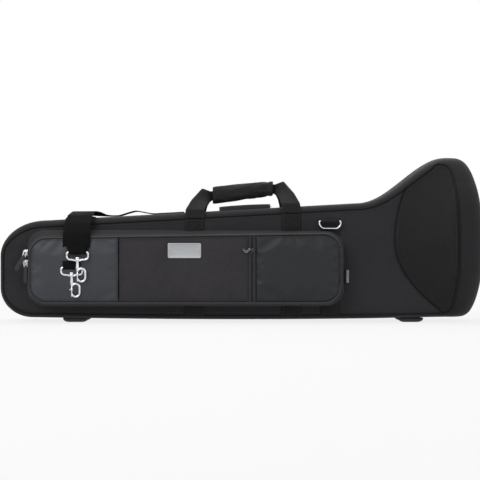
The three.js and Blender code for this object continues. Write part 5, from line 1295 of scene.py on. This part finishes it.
def strap_hook(letter, x, y, top):
    """A snap hook hung from a height: all its lengths are counted down from there."""
    eye_line = rounded(0, -0.0014, 0.0420, 0.0150, 0.0035, 0.0068, 8)
    eye_line = spaced(eye_line, 120, closed=True)
    low = eye_line[:, 1] < 0
    dip = -0.0016 * np.exp(-(eye_line[:, 0] / 0.006) ** 2)
    lift = 0.0010 * (1 - np.exp(-(eye_line[:, 0] / 0.009) ** 2))
    eye_line[:, 1] += np.where(low, dip + lift, 0)
    eye_path = joined(x + eye_line[:, 0], y, top - 0.0080 + eye_line[:, 1])
    eye = cord_of(f"strap_hook_{letter}_loop", eye_path, ring_of(0.0022, 14), chrome, closed=True)
    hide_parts(f"hook_{letter}_eye")
    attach(eye, f"hook_{letter}_eye")
    turn = np.linspace(0, np.pi, 16)
    under = np.stack([-0.0034 * np.cos(turn), -0.0014 - 0.0034 * np.sin(turn)], 1)
    profile = np.vstack([[[-0.0026, 0.0110]], under, [[0.0030, 0.0110]]])
    profile = smoothed(spaced(profile, 60), 3, closed=False)
    # The fold takes the shoulder webbing, whose darker colour is painted shade.
    fold = strap(f"strap_hook_{letter}_fold", joined(x, y + profile[:, 0], top + profile[:, 1]),
                 np.tile([0.0175, 0.0, 0.0], (60, 1)), 0.0018, strap_webbing_painted_shade)
    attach(fold, "pocket_flap")
    middle = np.array([x, y, top])
    profile = [
        (-0.0106, 0.0016), (-0.0108, 0.0034), (-0.0116, 0.0044), (-0.0136, 0.0047), (-0.0142, 0.0040),
        (-0.0150, 0.0040), (-0.0156, 0.0047), (-0.0176, 0.0045), (-0.0184, 0.0037), (-0.0192, 0.0031),
        (-0.0225, 0.0029), (-0.0265, 0.0032), (-0.0300, 0.0036), (-0.0325, 0.0038), (-0.0340, 0.0034),
        (-0.0348, 0.0016)]
    stem = turned_part(f"strap_hook_{letter}_stem", middle, profile, chrome)
    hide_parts(f"hook_{letter}_body")
    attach(stem, f"hook_{letter}_body")
    turn = np.linspace(0, np.pi, 30)
    over_arc = np.stack([0.0077 - 0.0077 * np.cos(turn), -0.0405 + 0.0068 * np.sin(turn)], 1)
    under_arc = np.stack([0.0077 + 0.0077 * np.cos(turn), -0.0510 - 0.0080 * np.sin(turn)], 1)
    ring_line = spaced(np.vstack([[[0.0, -0.0330]], over_arc[2:], under_arc[:-3]]), 90)
    ring_path = middle + joined(ring_line[:, 0], 0.0, ring_line[:, 1])
    thick = 0.0025 - 0.0006 * np.linspace(0, 1, 90)[:, None, None] ** 2
    across, above = run_frame(ring_path, np.array([0.0, 1.0, 0.0]))
    round_line = ring_of(1.0, 14)
    round_points = round_line[:, :1] * across[:, None] + round_line[:, 1:] * above[:, None]
    snap = closed_piece(f"strap_hook_{letter}_ring", ring_path[:, None] + thick * round_points, chrome)
    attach(snap, f"hook_{letter}_body")
    bolt = turned_part(f"strap_hook_{letter}_pin", middle, [
        (-0.0330, 0.0012), (-0.0332, 0.0014), (-0.0420, 0.0014), (-0.0425, 0.0021), (-0.0480, 0.0021),
        (-0.0485, 0.0014),
        (-0.0560, 0.0014), (-0.0585, 0.0012), (-0.0590, 0.0008)], chrome, 20)
    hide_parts(f"hook_{letter}_bolt")
    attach(bolt, f"hook_{letter}_bolt")
    stud_line = joined(0 * turn, np.cos(2 * turn), np.sin(2 * turn))[:-1]
    stud_steps = ((0.0008, 0.0009), (0.0034, 0.0009), (0.0036, 0.0015), (0.0043, 0.0015), (0.0045, 0.0010))
    stud_rings = [middle + np.array([-reach, 0, -0.0452]) + radius * stud_line for reach, radius in stud_steps]
    stud = closed_piece(f"strap_hook_{letter}_stud", np.array(stud_rings), chrome)
    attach(stud, f"hook_{letter}_bolt")


strap_hook("a", strap_up + 0.005, -0.106, 0.1426)
strap_hook("b", strap_up - 0.007, -0.099, 0.1126)


# Inside. Each half is a foam core bound with cloth at its rim and lined with short plush, and the lining's floor
# follows the panel at the core's thickness.
# Plush: brushed polyester pile, cut 1.5 mm long. Its sheen turns pale at the edge of sight, and the pile is drawn 2 mm
# apart so that it shows.
plush, tree = blank_material("short_pile_plush")
plush_place = node(tree, "TexCoord").outputs["Object"]
plush_pile = node(tree, "TexNoise", {}, {"Vector": plush_place, "Scale": 500.0, "Detail": 4.0, "Roughness": 0.7})
plush_brushed = node(tree, "TexNoise", {}, {"Vector": plush_place, "Scale": 22.0, "Detail": 3.0})
plush_mixed = node(tree, "Math", {"operation": "MULTIPLY_ADD"}, {
    0: plush_pile.outputs["Fac"], 1: 0.6, 2: plush_brushed.outputs["Fac"]})
plush_tone = node(tree, "ValToRGB", {}, {"Fac": plush_mixed.outputs[0]})
plush_tone.color_ramp.elements[0].position = 0.55
plush_tone.color_ramp.elements[0].color = linear("#17171a")
plush_tone.color_ramp.elements[1].position = 1.0
plush_tone.color_ramp.elements[1].color = linear("#33343a")
plush_bump = node(tree, "Bump", {}, {"Strength": 0.8, "Distance": 0.0008, "Height": plush_pile.outputs["Fac"]})
plush_skin = node(tree, "BsdfPrincipled", {}, {
    "Base Color": plush_tone.outputs["Color"], "Roughness": 0.95, "Specular IOR Level": 0.1, "Sheen Weight": 0.7,
    "Sheen Roughness": 0.35, "Normal": plush_bump.outputs["Normal"]})
node(tree, "OutputMaterial", {}, {"Surface": plush_skin.outputs[0]})

hollow_inset, core_face, least_fillet, plush_pile_depth = 0.0163, 0.0006, 0.004, 0.0014
inner_seam = seam_run(hollow_inset + 0.002)
rim_out = smoothed(outline_out, 10)
rim_edges = outline - 0.0026 * rim_out, outline - hollow_inset * rim_out
for half, (side, _, _, body) in depths.items():
    way = np.linspace(0, 1, 7)[:, None, None]
    rim = rim_edges[0] + (rim_edges[1] - rim_edges[0]) * way
    swell = core_face + 0.0012 * (2 * way[..., 0] - 1) ** 4
    rim_points = joined(rim[..., 0], side * swell, rim[..., 1]).transpose(1, 0, 2)
    if side < 0:
        rim_points = rim_points[:, ::-1]
    # The rim binding takes the wall's cloth, whose darker colour is painted shade.
    rim_band = surface(f"{half}_rim_binding", rim_points, wall_nylon_painted_shade, along_closed=True, thickness=0.0015)
    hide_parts(f"{half}_core")
    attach(rim_band, body)

    fillet = np.maximum(outline_fillet - hollow_inset, least_fillet)
    floor_depth = panel_depth(half, inner_seam[:, 0], inner_seam[:, 1]) - hollow_inset
    x, z, depth = wall_grid(rim_edges[1], inner_seam, core_face, floor_depth, fillet, 9)
    lining_points = np.stack([x, side * depth, z], -1).transpose(1, 0, 2)
    if side < 0:
        lining_points = lining_points[:, ::-1]
    lining_wall = surface(f"{half}_plush_wall", lining_points, plush, along_closed=True,
                          thickness=plush_pile_depth)
    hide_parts(f"{half}_lining")
    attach(lining_wall, body)

    x, z, _, _ = sheet_grid(inner_seam, 260, 70)
    floor_points = np.stack([x, side * (panel_depth(half, x, z) - hollow_inset), z], -1)
    if side > 0:
        floor_points = floor_points[:, ::-1]
    lining_floor = surface(f"{half}_plush_floor", floor_points, plush, thickness=plush_pile_depth)
    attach(lining_floor, body)


# Foam blocks. Cut foam under the same plush is glued on the rear half's lining: notched blocks for the slide, a
# saddle and a rim pad for the bell, a block with two holes for mouthpieces, and two dividers. A pad faces the lid.
def plush_block(name, node_name, body, voxel):
    """A foam block under plush, from the frame's solid: remeshed in even voxels, and relaxed so its edges round."""
    source = bpy.data.objects[node_name]
    mesh = source.data.copy()
    mesh.name = name
    mesh.materials.clear()
    mesh.materials.append(plush)
    shape = bmesh.new()
    shape.from_mesh(mesh)
    bmesh.ops.remove_doubles(shape, verts=shape.verts, dist=1e-6)
    shape.to_mesh(mesh)
    shape.free()
    made = bpy.data.objects.new(name, mesh)
    scene.collection.objects.link(made)
    remesh = made.modifiers.new("even", "REMESH")
    remesh.mode = "VOXEL"
    remesh.voxel_size = voxel
    relax = made.modifiers.new("relaxed", "SMOOTH")
    relax.factor = 0.6
    relax.iterations = 5
    even = made.evaluated_get(bpy.context.evaluated_depsgraph_get())
    made_mesh = bpy.data.meshes.new_from_object(even)
    made.modifiers.clear()
    made.data = made_mesh
    made_mesh.shade_smooth()
    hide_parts(node_name)
    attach(made, body)
    return made


for node_name in ("slide_block_left", "slide_block_right", "bell_saddle", "bell_rim_pad", "mouthpiece_block"):
    plush_block(f"{node_name}_plush", node_name, "rear_half", 0.0030)
for end in ("left", "right"):
    plush_block(f"divider_{end}_plush", f"compartment_wall_{end}", "rear_half", 0.0016)
lid_cushion = plush_block("lid_pad_plush", "lid_pad", "lid", 0.0045)
cushion_y = points_of(lid_cushion)[:, 1]
pressed(lid_cushion, cushion_y < cushion_y.min() + 0.003, 0.8, 0.02, 0.003)
